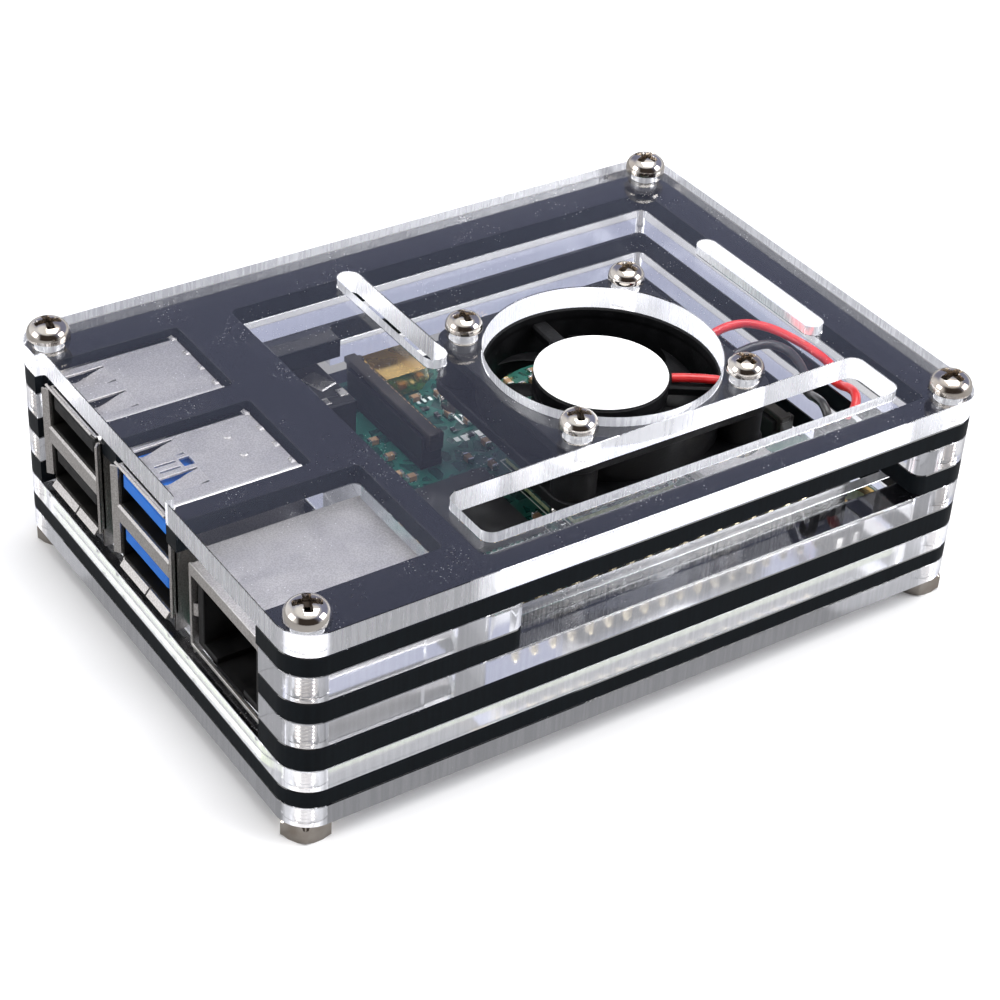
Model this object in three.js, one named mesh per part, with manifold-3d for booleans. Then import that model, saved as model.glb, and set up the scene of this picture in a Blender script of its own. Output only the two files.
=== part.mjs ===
// A single board computer in a case of nine stacked acrylic layers, with a cooling fan under the lid.
// Millimetres, +Z up. X runs along the long side, towards the USB and network sockets.
// Y runs towards the pin header. The origin is at the bottom centre, under the four nuts that act as feet.
import * as THREE from 'three';
import { mergeVertices } from 'three/addons/utils/BufferGeometryUtils.js';
import Module from 'manifold-3d';

const wasm = await Module();
wasm.setup();

// ---- Driving dimensions ----
const CASE_LENGTH = 93.36;
const CASE_WIDTH = 67.16;
const CASE_CORNER = 4;
const FOOT_HEIGHT = 2.4;          // height of the nuts under the base
const LAYER_GAP = 0.04;           // air between two layers
// Thickness of each layer, from the base plate up to the lid.
const THICKNESS = { base: 2.75, layer8: 2.29, layer7: 2.92, layer6: 3.15, layer5: 3.39,
                    layer4: 2.79, layer3: 3.46, layer2: 2.54, lid: 3.03 };
const SCREW_X = 43.4;             // case screws, from the centre
const SCREW_Y = 30.4;
const SCREW_RADIUS = 1.45;
const SCREW_HOLE = 1.7;

const BOARD_X0 = -41.3;           // the board's corner by the power socket
const BOARD_Y0 = -29;
const BOARD_LENGTH = 85;
const BOARD_WIDTH = 56;
const BOARD_THICKNESS = 1.4;
const BOARD_CORNER = 3;

const FAN_X = -12.4;
const FAN_Y = 3.56;
const FAN_SIZE = 30;
const FAN_DEPTH = 7.3;
const FAN_PITCH = 12;             // half the distance between two fan screws
const FAN_BORE = 14.2;
const HUB_RADIUS = 8.2;
const STRUT_ANGLES = [-93, 27, 147];
const WIRE_RADIUS = 0.55;
const PIN_PITCH = 2.54;

const FIT = 0.3;                  // clearance between pieces that fit into each other
const REACH = 60;                 // cutters run this far past a face

// ---- Heights worked out from the stack ----
const level = {};
let height = FOOT_HEIGHT;
for (const [name, thickness] of Object.entries(THICKNESS)) {
  level[name] = [height, height + thickness - LAYER_GAP];
  height += thickness;
}
const LID_TOP = level.lid[1];
const LID_UNDER = level.lid[0];
const BOARD_TOP = level.layer7[0] + BOARD_THICKNESS;
const ON_BOARD = BOARD_TOP + 0.05;   // where parts stand on the board

// ---- Colours ----
const paint = (color, roughness, metalness = 0, opacity = 1) =>
  new THREE.MeshStandardMaterial({ color, roughness, metalness, opacity, transparent: opacity < 1 });
const clearAcrylic = paint(0xe8eaf6, 0.08, 0, 0.4);
const blackAcrylic = paint(0x14161b, 0.18);
const nickel = paint(0xb9b4ab, 0.15, 1);
const socketSteel = paint(0xa9a7a6, 0.35, 1);
const blackPlastic = paint(0x101012, 0.5);
const bluePlastic = paint(0x1161d2, 0.4);
const boardGreen = paint(0x0f5a3a, 0.4);
const chipBlack = paint(0x1b1c1f, 0.6);
const gold = paint(0xc9a24a, 0.3, 1);
const copper = paint(0xb0642f, 0.35, 1);
const tanPlastic = paint(0x8c7454, 0.6);
const whiteLabel = paint(0xf6f6f4, 0.7);
const redWire = paint(0xd8201c, 0.45);

// ---- Shapes ----
const centred = (geometry, x, y, z) => geometry.translate(x, y, z);

// A box given by its two opposite corners.
function block(x0, x1, y0, y1, z0, z1) {
  const geometry = new THREE.BoxGeometry(x1 - x0, y1 - y0, z1 - z0);
  return centred(geometry, (x0 + x1) / 2, (y0 + y1) / 2, (z0 + z1) / 2);
}

// An upright cylinder.
function post(x, y, z0, z1, radius, sides = 20) {
  const geometry = new THREE.CylinderGeometry(radius, radius, z1 - z0, sides).rotateX(Math.PI / 2);
  return centred(geometry, x, y, (z0 + z1) / 2);
}

// A plate with round corners, given by its two opposite corners.
function roundedPlate(x0, x1, y0, y1, z0, z1, corner, segments = 5) {
  const shape = new THREE.Shape();
  shape.moveTo(x0 + corner, y0);
  shape.lineTo(x1 - corner, y0);
  shape.absarc(x1 - corner, y0 + corner, corner, -Math.PI / 2, 0, false);
  shape.lineTo(x1, y1 - corner);
  shape.absarc(x1 - corner, y1 - corner, corner, 0, Math.PI / 2, false);
  shape.lineTo(x0 + corner, y1);
  shape.absarc(x0 + corner, y1 - corner, corner, Math.PI / 2, Math.PI, false);
  shape.lineTo(x0, y0 + corner);
  shape.absarc(x0 + corner, y0 + corner, corner, Math.PI, Math.PI * 1.5, false);
  const settings = { depth: z1 - z0, bevelEnabled: false, curveSegments: segments };
  return centred(new THREE.ExtrudeGeometry(shape, settings), 0, 0, z0);
}

// A round piece turned about Z. The profile runs from the axis at the bottom to the axis at the top.
function turned(x, y, profile, sides = 20) {
  const points = profile.map(([r, z]) => new THREE.Vector2(r, z));
  return centred(new THREE.LatheGeometry(points, sides).rotateX(Math.PI / 2), x, y, 0);
}

// A round wire along a smooth curve through the given points.
function wire(points, steps) {
  const path = new THREE.CatmullRomCurve3(points.map((p) => new THREE.Vector3(...p)));
  const shape = new THREE.Shape().absarc(0, 0, WIRE_RADIUS, 0, Math.PI * 2);
  const settings = { extrudePath: path, steps, curveSegments: 4, bevelEnabled: false };
  return new THREE.ExtrudeGeometry(shape, settings);
}

// ---- Joining and cutting ----
function toSolid(geometry) {
  const plain = geometry.clone();
  plain.deleteAttribute('normal');
  plain.deleteAttribute('uv');
  const merged = mergeVertices(plain, 1e-4);
  return new wasm.Manifold(new wasm.Mesh({
    numProp: 3,
    vertProperties: new Float32Array(merged.attributes.position.array),
    triVerts: new Uint32Array(merged.index.array),
  }));
}

function toGeometry(solid) {
  const mesh = solid.getMesh();
  const geometry = new THREE.BufferGeometry();
  geometry.setAttribute('position', new THREE.BufferAttribute(new Float32Array(mesh.vertProperties), 3));
  geometry.setIndex(new THREE.BufferAttribute(new Uint32Array(mesh.triVerts), 1));
  geometry.computeVertexNormals();
  return geometry;
}

function cut(geometry, ...tools) {
  let solid = toSolid(geometry);
  for (const tool of tools) solid = solid.subtract(toSolid(tool));
  return toGeometry(solid);
}

function join(...pieces) {
  let solid = toSolid(pieces[0]);
  for (const piece of pieces.slice(1)) solid = solid.add(toSolid(piece));
  return toGeometry(solid);
}

// ---- The assembly ----
const computer = new THREE.Group();
function add(name, geometry, material) {
  const mesh = new THREE.Mesh(geometry, material);
  mesh.name = name;
  computer.add(mesh);
}

const caseCorners = [[1, 1], [1, -1], [-1, 1], [-1, -1]];
const caseScrews = caseCorners.map(([sx, sy]) => [sx * SCREW_X, sy * SCREW_Y]);
const fanScrews = caseCorners.map(([sx, sy]) => [FAN_X + sx * FAN_PITCH, FAN_Y + sy * FAN_PITCH]);

// ---- Case layers ----
const HALF_LENGTH = CASE_LENGTH / 2;
const HALF_WIDTH = CASE_WIDTH / 2;
const INNER_X0 = -41.1;           // the opening over the board, at its far end
const BAR_X = [21.1, 28.4];       // bar that crosses the case behind the USB sockets
const NETWORK_BACK = 24;          // the bar is narrower behind the network socket
const PORTS_Y = [-27.6, 26];      // the sockets' side is open between these
const FLANGE_CLEAR_X = 45.3;      // layer 2 and the lid stop here, behind the USB flanges
const WINDOW_X = [-37.5, 18.2];   // window beside the pin header
const SIDE_PORTS_X = [-36.2, 17.5];  // opening for power, video and audio plugs
const AUDIO_X = [7.2, 17.5];

// A full plate of the case's outline with the four screw holes, less the given cutters.
function layer(name, ...cutters) {
  const [z0, z1] = level[name];
  const holes = caseScrews.map(([x, y]) => post(x, y, z0 - 1, z1 + 1, SCREW_HOLE, 16));
  const plate = roundedPlate(-HALF_LENGTH, HALF_LENGTH, -HALF_WIDTH, HALF_WIDTH, z0, z1, CASE_CORNER, 6);
  return cut(plate, ...holes, ...cutters);
}

// A cutter with round corners that goes right through one layer.
function opening(name, x0, x1, y0, y1, corner = 1) {
  const [z0, z1] = level[name];
  return roundedPlate(x0, x1, y0, y1, z0 - 1, z1 + 1, corner, 3);
}

// The open side for the sockets, with the deeper bay behind the network socket.
function portBay(name) {
  return [opening(name, BAR_X[1], REACH, ...PORTS_Y), opening(name, NETWORK_BACK, REACH, 7.8, 25.6)];
}

const lidSlots = [
  opening('lid', -38.3, 19.9, 19.3, 27.7, 1.5),        // over the pin header
  opening('lid', 4.2, 7.1, -26.6, -4, 1.4),            // camera ribbon
  opening('lid', -40, -37.3, -11.7, 12, 1.3),          // display ribbon
];
const lidHoles = [
  post(FAN_X, FAN_Y, LID_UNDER - 1, LID_TOP + 1, 14.4, 48),
  ...fanScrews.map(([x, y]) => post(x, y, LID_UNDER - 1, LID_TOP + 1, SCREW_HOLE, 16)),
];
const usbRecess = opening('lid', FLANGE_CLEAR_X + 0.2, REACH, -27.4, 5.6, 0.5);
add('lid_plate', layer('lid', ...lidSlots, ...lidHoles, usbRecess), clearAcrylic);

add('layer_2_black', layer('layer2',
  opening('layer2', INNER_X0, BAR_X[0], -27.3, 28.9),
  opening('layer2', BAR_X[1], REACH, -27.1, -12.9, 0.6),
  opening('layer2', BAR_X[1], REACH, -9.2, 5.2, 0.6),
  opening('layer2', FLANGE_CLEAR_X, REACH, -27.6, 5.6, 0.5),
  opening('layer2', NETWORK_BACK, REACH, 7.9, 25.5, 0.6)), blackAcrylic);

add('layer_3_clear', layer('layer3',
  opening('layer3', INNER_X0, BAR_X[0], -27.2, 27.2),
  opening('layer3', ...WINDOW_X, 20, REACH, 1.6),
  ...portBay('layer3')), clearAcrylic);

add('layer_4_black', layer('layer4',
  opening('layer4', INNER_X0, 7.7, -26.9, 27.2),
  opening('layer4', INNER_X0, BAR_X[0], -23.6, 27.2),
  opening('layer4', ...WINDOW_X, 20, REACH, 1.6),
  ...portBay('layer4')), blackAcrylic);

add('layer_5_clear', layer('layer5',
  opening('layer5', INNER_X0, BAR_X[0], -26.9, 27.2),
  opening('layer5', ...AUDIO_X, -REACH, -20),
  ...portBay('layer5')), clearAcrylic);

add('layer_6_black', layer('layer6',
  opening('layer6', INNER_X0, BAR_X[0], -26.5, 28.4),
  opening('layer6', ...SIDE_PORTS_X, -REACH, -20),
  ...portBay('layer6')), blackAcrylic);

const pocket = [BOARD_X0 - FIT, BOARD_X0 + BOARD_LENGTH + 0.2, BOARD_Y0 - 0.2, BOARD_Y0 + BOARD_WIDTH + FIT];
add('layer_7_clear', layer('layer7',
  opening('layer7', ...pocket, 3.5),
  opening('layer7', ...SIDE_PORTS_X, -REACH, -20)), clearAcrylic);

const CARD_BAY_Y = [-8.4, 6.4];
add('layer_8_black', layer('layer8',
  opening('layer8', -38.5, 40.5, -26, 24, 2),
  opening('layer8', -REACH, -30, ...CARD_BAY_Y)), blackAcrylic);

add('base_plate', layer('base', opening('base', -REACH, -41, -7.5, 5.5, 3)), clearAcrylic);

// ---- Case screws and the nuts that act as feet ----
const HEAD_RADIUS = 2.6;
const HEAD_HEIGHT = 2.1;
const HEAD_LIFT = 0.05;
const CASE_SCREW_TIP = 0.3;
const CASE_NUT_FLATS = 5.5;
const FAN_HEAD_RADIUS = 2.3;
const FAN_HEAD_HEIGHT = 1.9;
const FAN_NUT_FLATS = 5;

// A pan-head screw from its tip up to its domed head.
function panHeadScrew(x, y, headRadius, headHeight, tipZ) {
  const seat = LID_TOP + HEAD_LIFT;
  return turned(x, y, [
    [0, tipZ], [SCREW_RADIUS - 0.25, tipZ], [SCREW_RADIUS, tipZ + 0.3], [SCREW_RADIUS, seat],
    [headRadius - 0.1, seat], [headRadius, seat + headHeight * 0.3],
    [headRadius * 0.86, seat + headHeight * 0.72], [headRadius * 0.5, seat + headHeight * 0.95],
    [0, seat + headHeight],
  ], 16);
}

function hexNut(x, y, z0, z1, acrossFlats) {
  const body = post(x, y, z0, z1, acrossFlats / Math.sqrt(3), 6);
  return cut(body, post(x, y, z0 - 1, z1 + 1, SCREW_HOLE, 16));
}

caseScrews.forEach(([x, y], i) => {
  add(`case_screw_${i + 1}`, panHeadScrew(x, y, HEAD_RADIUS, HEAD_HEIGHT, CASE_SCREW_TIP), nickel);
  add(`case_nut_${i + 1}`, hexNut(x, y, 0, FOOT_HEIGHT - LAYER_GAP, CASE_NUT_FLATS), nickel);
});

// ---- Fan ----
const FAN_TOP = LID_UNDER - 0.05;
const FAN_BOTTOM = FAN_TOP - FAN_DEPTH;
const FAN_CORNER = 3;
const STRUT_TOP = FAN_TOP - 1.2;
const STRUT_DEPTH = 1.3;
const STRUT_WIDTH = 2.2;
const BASE_TOP = FAN_TOP - 0.25;
const LEAD_ANGLE = 147;           // the strut that carries the motor's lead
const LEAD_CHANNEL = [12, 16.6, 1.9];   // start and end from the axis, and width

// A bar that runs out from the fan's axis at the given angle.
function spoke(angle, r0, r1, width, z0, z1) {
  const bar = block(r0, r1, -width / 2, width / 2, z0, z1);
  return centred(bar.rotateZ(THREE.MathUtils.degToRad(angle)), FAN_X, FAN_Y, 0);
}

const halfFan = FAN_SIZE / 2;
const fanBody = roundedPlate(FAN_X - halfFan, FAN_X + halfFan, FAN_Y - halfFan, FAN_Y + halfFan,
  FAN_BOTTOM, FAN_TOP, FAN_CORNER, 4);
const fanRing = cut(fanBody, post(FAN_X, FAN_Y, FAN_BOTTOM - 1, FAN_TOP + 1, FAN_BORE, 36),
  ...fanScrews.map(([x, y]) => post(x, y, FAN_BOTTOM - 1, FAN_TOP + 1, SCREW_HOLE, 16)),
  spoke(LEAD_ANGLE, ...LEAD_CHANNEL, FAN_TOP - 1.9, FAN_TOP + 1));
const BEARING_RADIUS = 2;
const BEARING_BORE = 0.95;
const fanFrame = cut(
  join(fanRing, post(FAN_X, FAN_Y, STRUT_TOP - STRUT_DEPTH, BASE_TOP, HUB_RADIUS, 32),
    post(FAN_X, FAN_Y, FAN_BOTTOM + 1.6, STRUT_TOP, BEARING_RADIUS, 16),
    ...STRUT_ANGLES.map((angle) =>
      spoke(angle, 6, FAN_BORE + 0.4, STRUT_WIDTH, STRUT_TOP - STRUT_DEPTH, STRUT_TOP))),
  post(FAN_X, FAN_Y, FAN_BOTTOM - 1, BASE_TOP - 1, BEARING_BORE, 16));
add('fan_frame', fanFrame, blackPlastic);

add('fan_label', post(FAN_X, FAN_Y, BASE_TOP + 0.04, BASE_TOP + 0.16, HUB_RADIUS - 0.05, 40), whiteLabel);

// The rotor is a cup, open upwards, that turns round the winding, with seven tilted blades.
const ROTOR_TOP = STRUT_TOP - STRUT_DEPTH - 0.4;
const ROTOR_BOTTOM = FAN_BOTTOM + 0.4;
const BLADE_COUNT = 7;
const BLADE_TILT = 35;

function blade(index) {
  const plate = block(HUB_RADIUS - 0.6, FAN_BORE - 0.5, -0.35, 0.35, -2.4, 2.4);
  plate.rotateX(THREE.MathUtils.degToRad(BLADE_TILT)).rotateZ((index / BLADE_COUNT) * Math.PI * 2);
  return centred(plate, FAN_X, FAN_Y, (ROTOR_TOP + ROTOR_BOTTOM) / 2);
}

const rotorCup = cut(post(FAN_X, FAN_Y, ROTOR_BOTTOM, ROTOR_TOP, HUB_RADIUS, 32),
  post(FAN_X, FAN_Y, ROTOR_BOTTOM + 0.9, ROTOR_TOP + 1, HUB_RADIUS - 1, 32),
  post(FAN_X, FAN_Y, ROTOR_BOTTOM - 1, ROTOR_TOP + 1, BEARING_BORE, 12));
add('fan_rotor', join(rotorCup, ...Array.from({ length: BLADE_COUNT }, (_, i) => blade(i))), blackPlastic);

const AXLE_RADIUS = 0.88;
add('fan_axle', post(FAN_X, FAN_Y, ROTOR_BOTTOM + 0.1, BASE_TOP - 1.3, AXLE_RADIUS, 12), nickel);
add('fan_winding', cut(post(FAN_X, FAN_Y, FAN_BOTTOM + 2.1, ROTOR_TOP - 0.2, 5.8, 24),
  post(FAN_X, FAN_Y, FAN_BOTTOM, ROTOR_TOP + 1, BEARING_RADIUS + FIT, 16)), copper);

const FAN_NUT_HEIGHT = 2;
fanScrews.forEach(([x, y], i) => {
  const nutTop = FAN_BOTTOM - LAYER_GAP;
  const screw = panHeadScrew(x, y, FAN_HEAD_RADIUS, FAN_HEAD_HEIGHT, FAN_BOTTOM - FAN_NUT_HEIGHT);
  add(`fan_screw_${i + 1}`, screw, nickel);
  add(`fan_nut_${i + 1}`, hexNut(x, y, nutTop - FAN_NUT_HEIGHT, nutTop, FAN_NUT_FLATS), nickel);
});

// ---- Fan wires and their plugs on the pin header ----
const HEADER_Y = BOARD_Y0 + 52.5;
const HEADER_X0 = BOARD_X0 + 8.37;       // first pin
const OUTER_ROW_Y = HEADER_Y + PIN_PITCH / 2;
const PLUG_TOP = FOOT_HEIGHT + 20.4;
const plugX = [HEADER_X0, HEADER_X0 + PIN_PITCH];

// Points of each route, x and y from the origin and z from the base plate's underside.
const redRoute = [[-27.7, 3.6, 21.3], [-29, 3.7, 21.8], [-31.2, 3.9, 22.3], [-33.4, 4.8, 22.55],
  [-35, 6.7, 22.6], [-35.9, 9, 22.6], [-36.5, 12, 22.6], [-36.8, 15, 22.5], [-36.7, 17.6, 22.4],
  [-36.4, 19.6, 22.75], [-36.1, 21.2, 23.4], [-35.6, 22.8, 23.8], [-34.9, 24, 23.6], [-34, 24.7, 22.9],
  [-33.25, 24.85, 21.9],
  [plugX[0], OUTER_ROW_Y, 20.7]];
const blackRoute = [[-27.7, 8.6, 21.3], [-29.2, 8.8, 21.9], [-31.2, 9.1, 22.3], [-33.1, 10, 22.5],
  [-33.9, 12.2, 22.6], [-33.6, 14.6, 22.5], [-32.6, 17.2, 22.4], [-31.8, 19.4, 22.75],
  [-31.3, 21, 23.35], [-30.85, 22.6, 23.7], [-30.5, 23.9, 23.3], [-30.39, 24.6, 22.3],
  [plugX[1], OUTER_ROW_Y, 20.7]];
const raised = (route) => route.map(([x, y, z]) => [x, y, z + FOOT_HEIGHT]);
add('fan_wire_red', wire(raised(redRoute), 30), redWire);
add('fan_wire_black', wire(raised(blackRoute), 26), blackPlastic);

plugX.forEach((x, i) => {
  const housing = block(x - 1.2, x + 1.2, OUTER_ROW_Y - 1.2, OUTER_ROW_Y + 1.2, BOARD_TOP + 2.9, PLUG_TOP);
  const pinHole = block(x - 0.55, x + 0.55, OUTER_ROW_Y - 0.55, OUTER_ROW_Y + 0.55, BOARD_TOP, BOARD_TOP + 9);
  add(`fan_plug_${i === 0 ? 'red' : 'black'}`, cut(housing, pinHole), blackPlastic);
});

// The short red lead from the motor base over one strut into the rim.
const leadTurn = THREE.MathUtils.degToRad(LEAD_ANGLE);
const leadSteps = [[HUB_RADIUS + 0.3, 0.55], [10, 0.62], [12, 0.62], [14, 0.5], [16.2, 0.35]];
const leadRoute = leadSteps.map(([r, lift]) =>
  [FAN_X + r * Math.cos(leadTurn), FAN_Y + r * Math.sin(leadTurn), STRUT_TOP + WIRE_RADIUS - 0.5 + lift]);
add('fan_hub_lead', wire(leadRoute, 8), redWire);

// ---- Circuit board ----
const boardHoles = [[3.5, 3.5], [61.5, 3.5], [3.5, 52.5], [61.5, 52.5]];
add('circuit_board', cut(
  roundedPlate(BOARD_X0, BOARD_X0 + BOARD_LENGTH, BOARD_Y0, BOARD_Y0 + BOARD_WIDTH,
    level.layer7[0], BOARD_TOP, BOARD_CORNER, 6),
  ...boardHoles.map(([x, y]) => post(BOARD_X0 + x, BOARD_Y0 + y, 0, REACH, 1.35, 16))), boardGreen);

// A flat part on the board, by its centre, size and height.
function chip(name, x, y, width, depth, tall, material, lift = 0) {
  add(name, block(x - width / 2, x + width / 2, y - depth / 2, y + depth / 2,
    ON_BOARD + lift, ON_BOARD + lift + tall), material);
}

chip('processor', -12, 3.5, 15, 15, 2.3, socketSteel);
chip('memory_chip', 4.2, 3.5, 10, 14, 0.9, chipBlack);
chip('usb_controller', 15.6, 8, 7, 7, 0.9, chipBlack);
chip('network_chip', 15.6, -3.5, 7, 7, 0.9, chipBlack);
chip('power_chip', -31.3, -11, 6, 6, 0.9, chipBlack);
chip('wireless_shield', -28, 12.8, 11, 9.5, 1.6, socketSteel);

// ---- Pin headers ----
const PIN_HALF = 0.32;
const PIN_TOP = BOARD_TOP + 8.5;

// Square pins in a plastic bar, from the first pin, columns along X and rows along Y.
function pinHeader(x, y, columns, rows) {
  const edge = PIN_PITCH / 2 - 0.02;
  const bar = block(x - edge, x + (columns - 1) * PIN_PITCH + edge,
    y - edge, y + (rows - 1) * PIN_PITCH + edge, ON_BOARD, BOARD_TOP + PIN_PITCH);
  const pins = [];
  for (let i = 0; i < columns; i += 1) {
    for (let j = 0; j < rows; j += 1) {
      const px = x + i * PIN_PITCH;
      const py = y + j * PIN_PITCH;
      pins.push(block(px - PIN_HALF, px + PIN_HALF, py - PIN_HALF, py + PIN_HALF, BOARD_TOP + 1.5, PIN_TOP));
    }
  }
  return join(bar, ...pins);
}

add('pin_header', pinHeader(HEADER_X0, HEADER_Y - PIN_PITCH / 2, 20, 2), gold);
add('four_pin_header', pinHeader(16.6, 15.4, 2, 2), gold);

// ---- USB sockets ----
const USB_BACK = 29;
const USB_FRONT = 46.1;
const USB_HALF = 6.6;
const USB_TOP = FOOT_HEIGHT + 22.45;
const OVERHANG_UNDER = level.layer7[1] + 0.25;   // parts that pass over layer 7's bar stay above it
const BOARD_EDGE = BOARD_X0 + BOARD_LENGTH;
const LOWER_PORT = [FOOT_HEIGHT + 9.35, FOOT_HEIGHT + 14.55];
const UPPER_PORT = [FOOT_HEIGHT + 16.75, FOOT_HEIGHT + 21.95];
const USB_WALL = 0.35;

function usbShell(y) {
  const body = join(
    block(USB_BACK, USB_FRONT, y - USB_HALF, y + USB_HALF, OVERHANG_UNDER, USB_TOP),
    block(USB_BACK, BOARD_EDGE - FIT, y - USB_HALF, y + USB_HALF, ON_BOARD, OVERHANG_UNDER + 1),
    block(USB_FRONT - 0.35, USB_FRONT + 0.1, y - 7.3, y + 7.3, FOOT_HEIGHT + 8.6, FOOT_HEIGHT + 23));
  const port = ([z0, z1]) =>
    block(USB_BACK + USB_WALL, REACH, y - USB_HALF + USB_WALL, y + USB_HALF - USB_WALL, z0, z1);
  const rear = block(USB_BACK + USB_WALL, USB_BACK + 3.4, y - USB_HALF + USB_WALL, y + USB_HALF - USB_WALL,
    ON_BOARD - 1, UPPER_PORT[1]);
  return cut(body, port(LOWER_PORT), port(UPPER_PORT), rear);
}

// The insert: a wall at the back with one tongue for each port.
function usbInsert(y, tongueLift) {
  const half = USB_HALF - USB_WALL - FIT;
  const wall = block(USB_BACK + USB_WALL + FIT, USB_BACK + 3, y - half, y + half,
    ON_BOARD, UPPER_PORT[1] - FIT);
  const tongues = [LOWER_PORT, UPPER_PORT].map(([z0]) =>
    block(USB_BACK + 2, USB_FRONT - 0.6, y - 5.6, y + 5.6, z0 + tongueLift, z0 + tongueLift + 1.9));
  return join(wall, ...tongues);
}

const USB2_Y = BOARD_Y0 + 9;
const USB3_Y = BOARD_Y0 + 27;
const TONGUE_LIFT = 2.85;
add('usb2_shell', usbShell(USB2_Y), socketSteel);
add('usb2_insert', usbInsert(USB2_Y, TONGUE_LIFT), blackPlastic);
add('usb3_shell', usbShell(USB3_Y), socketSteel);
add('usb3_insert', usbInsert(USB3_Y, TONGUE_LIFT), bluePlastic);

// ---- Network socket ----
const NET_Y = BOARD_Y0 + 45.75;
const NET_FRONT = 45.7;
const NET_BACK = 24.5;
const NET_HALF = 8;
const NET_TOP = FOOT_HEIGHT + 19.95;
const NET_CAVITY = [FOOT_HEIGHT + 9.6, FOOT_HEIGHT + 17.4];
const netBody = join(
  block(NET_BACK, NET_FRONT, NET_Y - NET_HALF, NET_Y + NET_HALF, OVERHANG_UNDER, NET_TOP),
  block(NET_BACK, BOARD_EDGE - FIT, NET_Y - NET_HALF, NET_Y + NET_HALF, ON_BOARD, OVERHANG_UNDER + 1));
const netBay = block(NET_BACK + 0.4, REACH, NET_Y - NET_HALF + 0.5, NET_Y + NET_HALF - 0.5,
  OVERHANG_UNDER + 0.4, NET_TOP - 0.4);
add('network_shell', cut(netBody, netBay), socketSteel);

const netInsertBody = block(NET_BACK + 0.7, NET_FRONT - 0.6, NET_Y - NET_HALF + 0.8, NET_Y + NET_HALF - 0.8,
  OVERHANG_UNDER + 0.7, NET_TOP - 0.7);
const netSocket = block(NET_BACK + 8, REACH, NET_Y - 5.9, NET_Y + 5.9, ...NET_CAVITY);
const netKey = block(NET_BACK + 8, REACH, NET_Y - 3, NET_Y + 3, NET_CAVITY[0] - 1.3, NET_CAVITY[1]);
add('network_insert', cut(netInsertBody, netSocket, netKey), blackPlastic);

// ---- Sockets along the other long side ----
// A metal socket shell that is open at its front, towards -Y.
function sideSocket(x, width, y0, y1, tall, wall) {
  const z0 = ON_BOARD;
  return cut(block(x - width / 2, x + width / 2, y0, y1, z0, z0 + tall),
    block(x - width / 2 + wall, x + width / 2 - wall, y0 - 1, y1 - 1, z0 + wall, z0 + tall - wall));
}

add('usb_c_socket', sideSocket(BOARD_X0 + 11.2, 8.94, -30.2, -22.9, 3.2, 0.35), socketSteel);
add('micro_hdmi_socket_1', sideSocket(BOARD_X0 + 26, 6.5, -30.3, -22.6, 3.2, 0.3), socketSteel);
add('micro_hdmi_socket_2', sideSocket(BOARD_X0 + 39.5, 6.5, -30.3, -22.6, 3.2, 0.3), socketSteel);

const AUDIO_CENTRE = BOARD_X0 + 54;
const AUDIO_AXIS_Z = ON_BOARD + 3;
const lying = (radius, y0, y1) =>
  centred(new THREE.CylinderGeometry(radius, radius, y1 - y0, 24), AUDIO_CENTRE, (y0 + y1) / 2, AUDIO_AXIS_Z);
add('audio_jack', cut(
  join(block(AUDIO_CENTRE - 3.5, AUDIO_CENTRE + 3.5, -29, -17, ON_BOARD, ON_BOARD + 6),
    lying(2.9, -31.4, -28)),
  lying(1.8, -33, -19)), blackPlastic);

// ---- Ribbon connectors with their latches ----
// The body has a slot along its top, and the latch lies over it with a leg at each end.
function ribbonConnector(name, x, y, half) {
  const z0 = ON_BOARD;
  const body = cut(block(x - 1.5, x + 1.5, y - half, y + half, z0, z0 + 4.6),
    block(x - 0.4, x + 0.5, y - half + 1, y + half - 1, z0 + 1, z0 + 6));
  add(`${name}_connector`, body, blackPlastic);
  const legs = [-1, 1].map((side) =>
    block(x - 1, x + 1, y + side * (half + 0.7) - 0.5, y + side * (half + 0.7) + 0.5, z0 + 3, z0 + 5.8));
  add(`${name}_latch`, join(
    block(x - 1.3, x + 1.3, y - half - 1, y + half + 1, z0 + 4.9, z0 + 5.8), ...legs), tanPlastic);
}

ribbonConnector('camera', BOARD_X0 + 45.4, -16.4, 9);
ribbonConnector('display', BOARD_X0 + 3.6, -1, 10);

// ---- Memory card and its socket under the board ----
const CARD_Y = BOARD_Y0 + 28;
const SLOT_TOP = level.layer7[0] - 0.06;
const SLOT_UNDER = SLOT_TOP - 1.6;
add('card_socket', cut(block(-40.9, -26.6, CARD_Y - 6.4, CARD_Y + 6.4, SLOT_UNDER, SLOT_TOP),
  block(-REACH, -27, CARD_Y - 5.8, CARD_Y + 5.8, SLOT_UNDER + 0.25, SLOT_TOP - 0.25)), socketSteel);
add('memory_card', block(-43.8, -28.8, CARD_Y - 5.5, CARD_Y + 5.5, SLOT_UNDER + 0.4, SLOT_UNDER + 1.15),
  blackPlastic);

export default computer;
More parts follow.
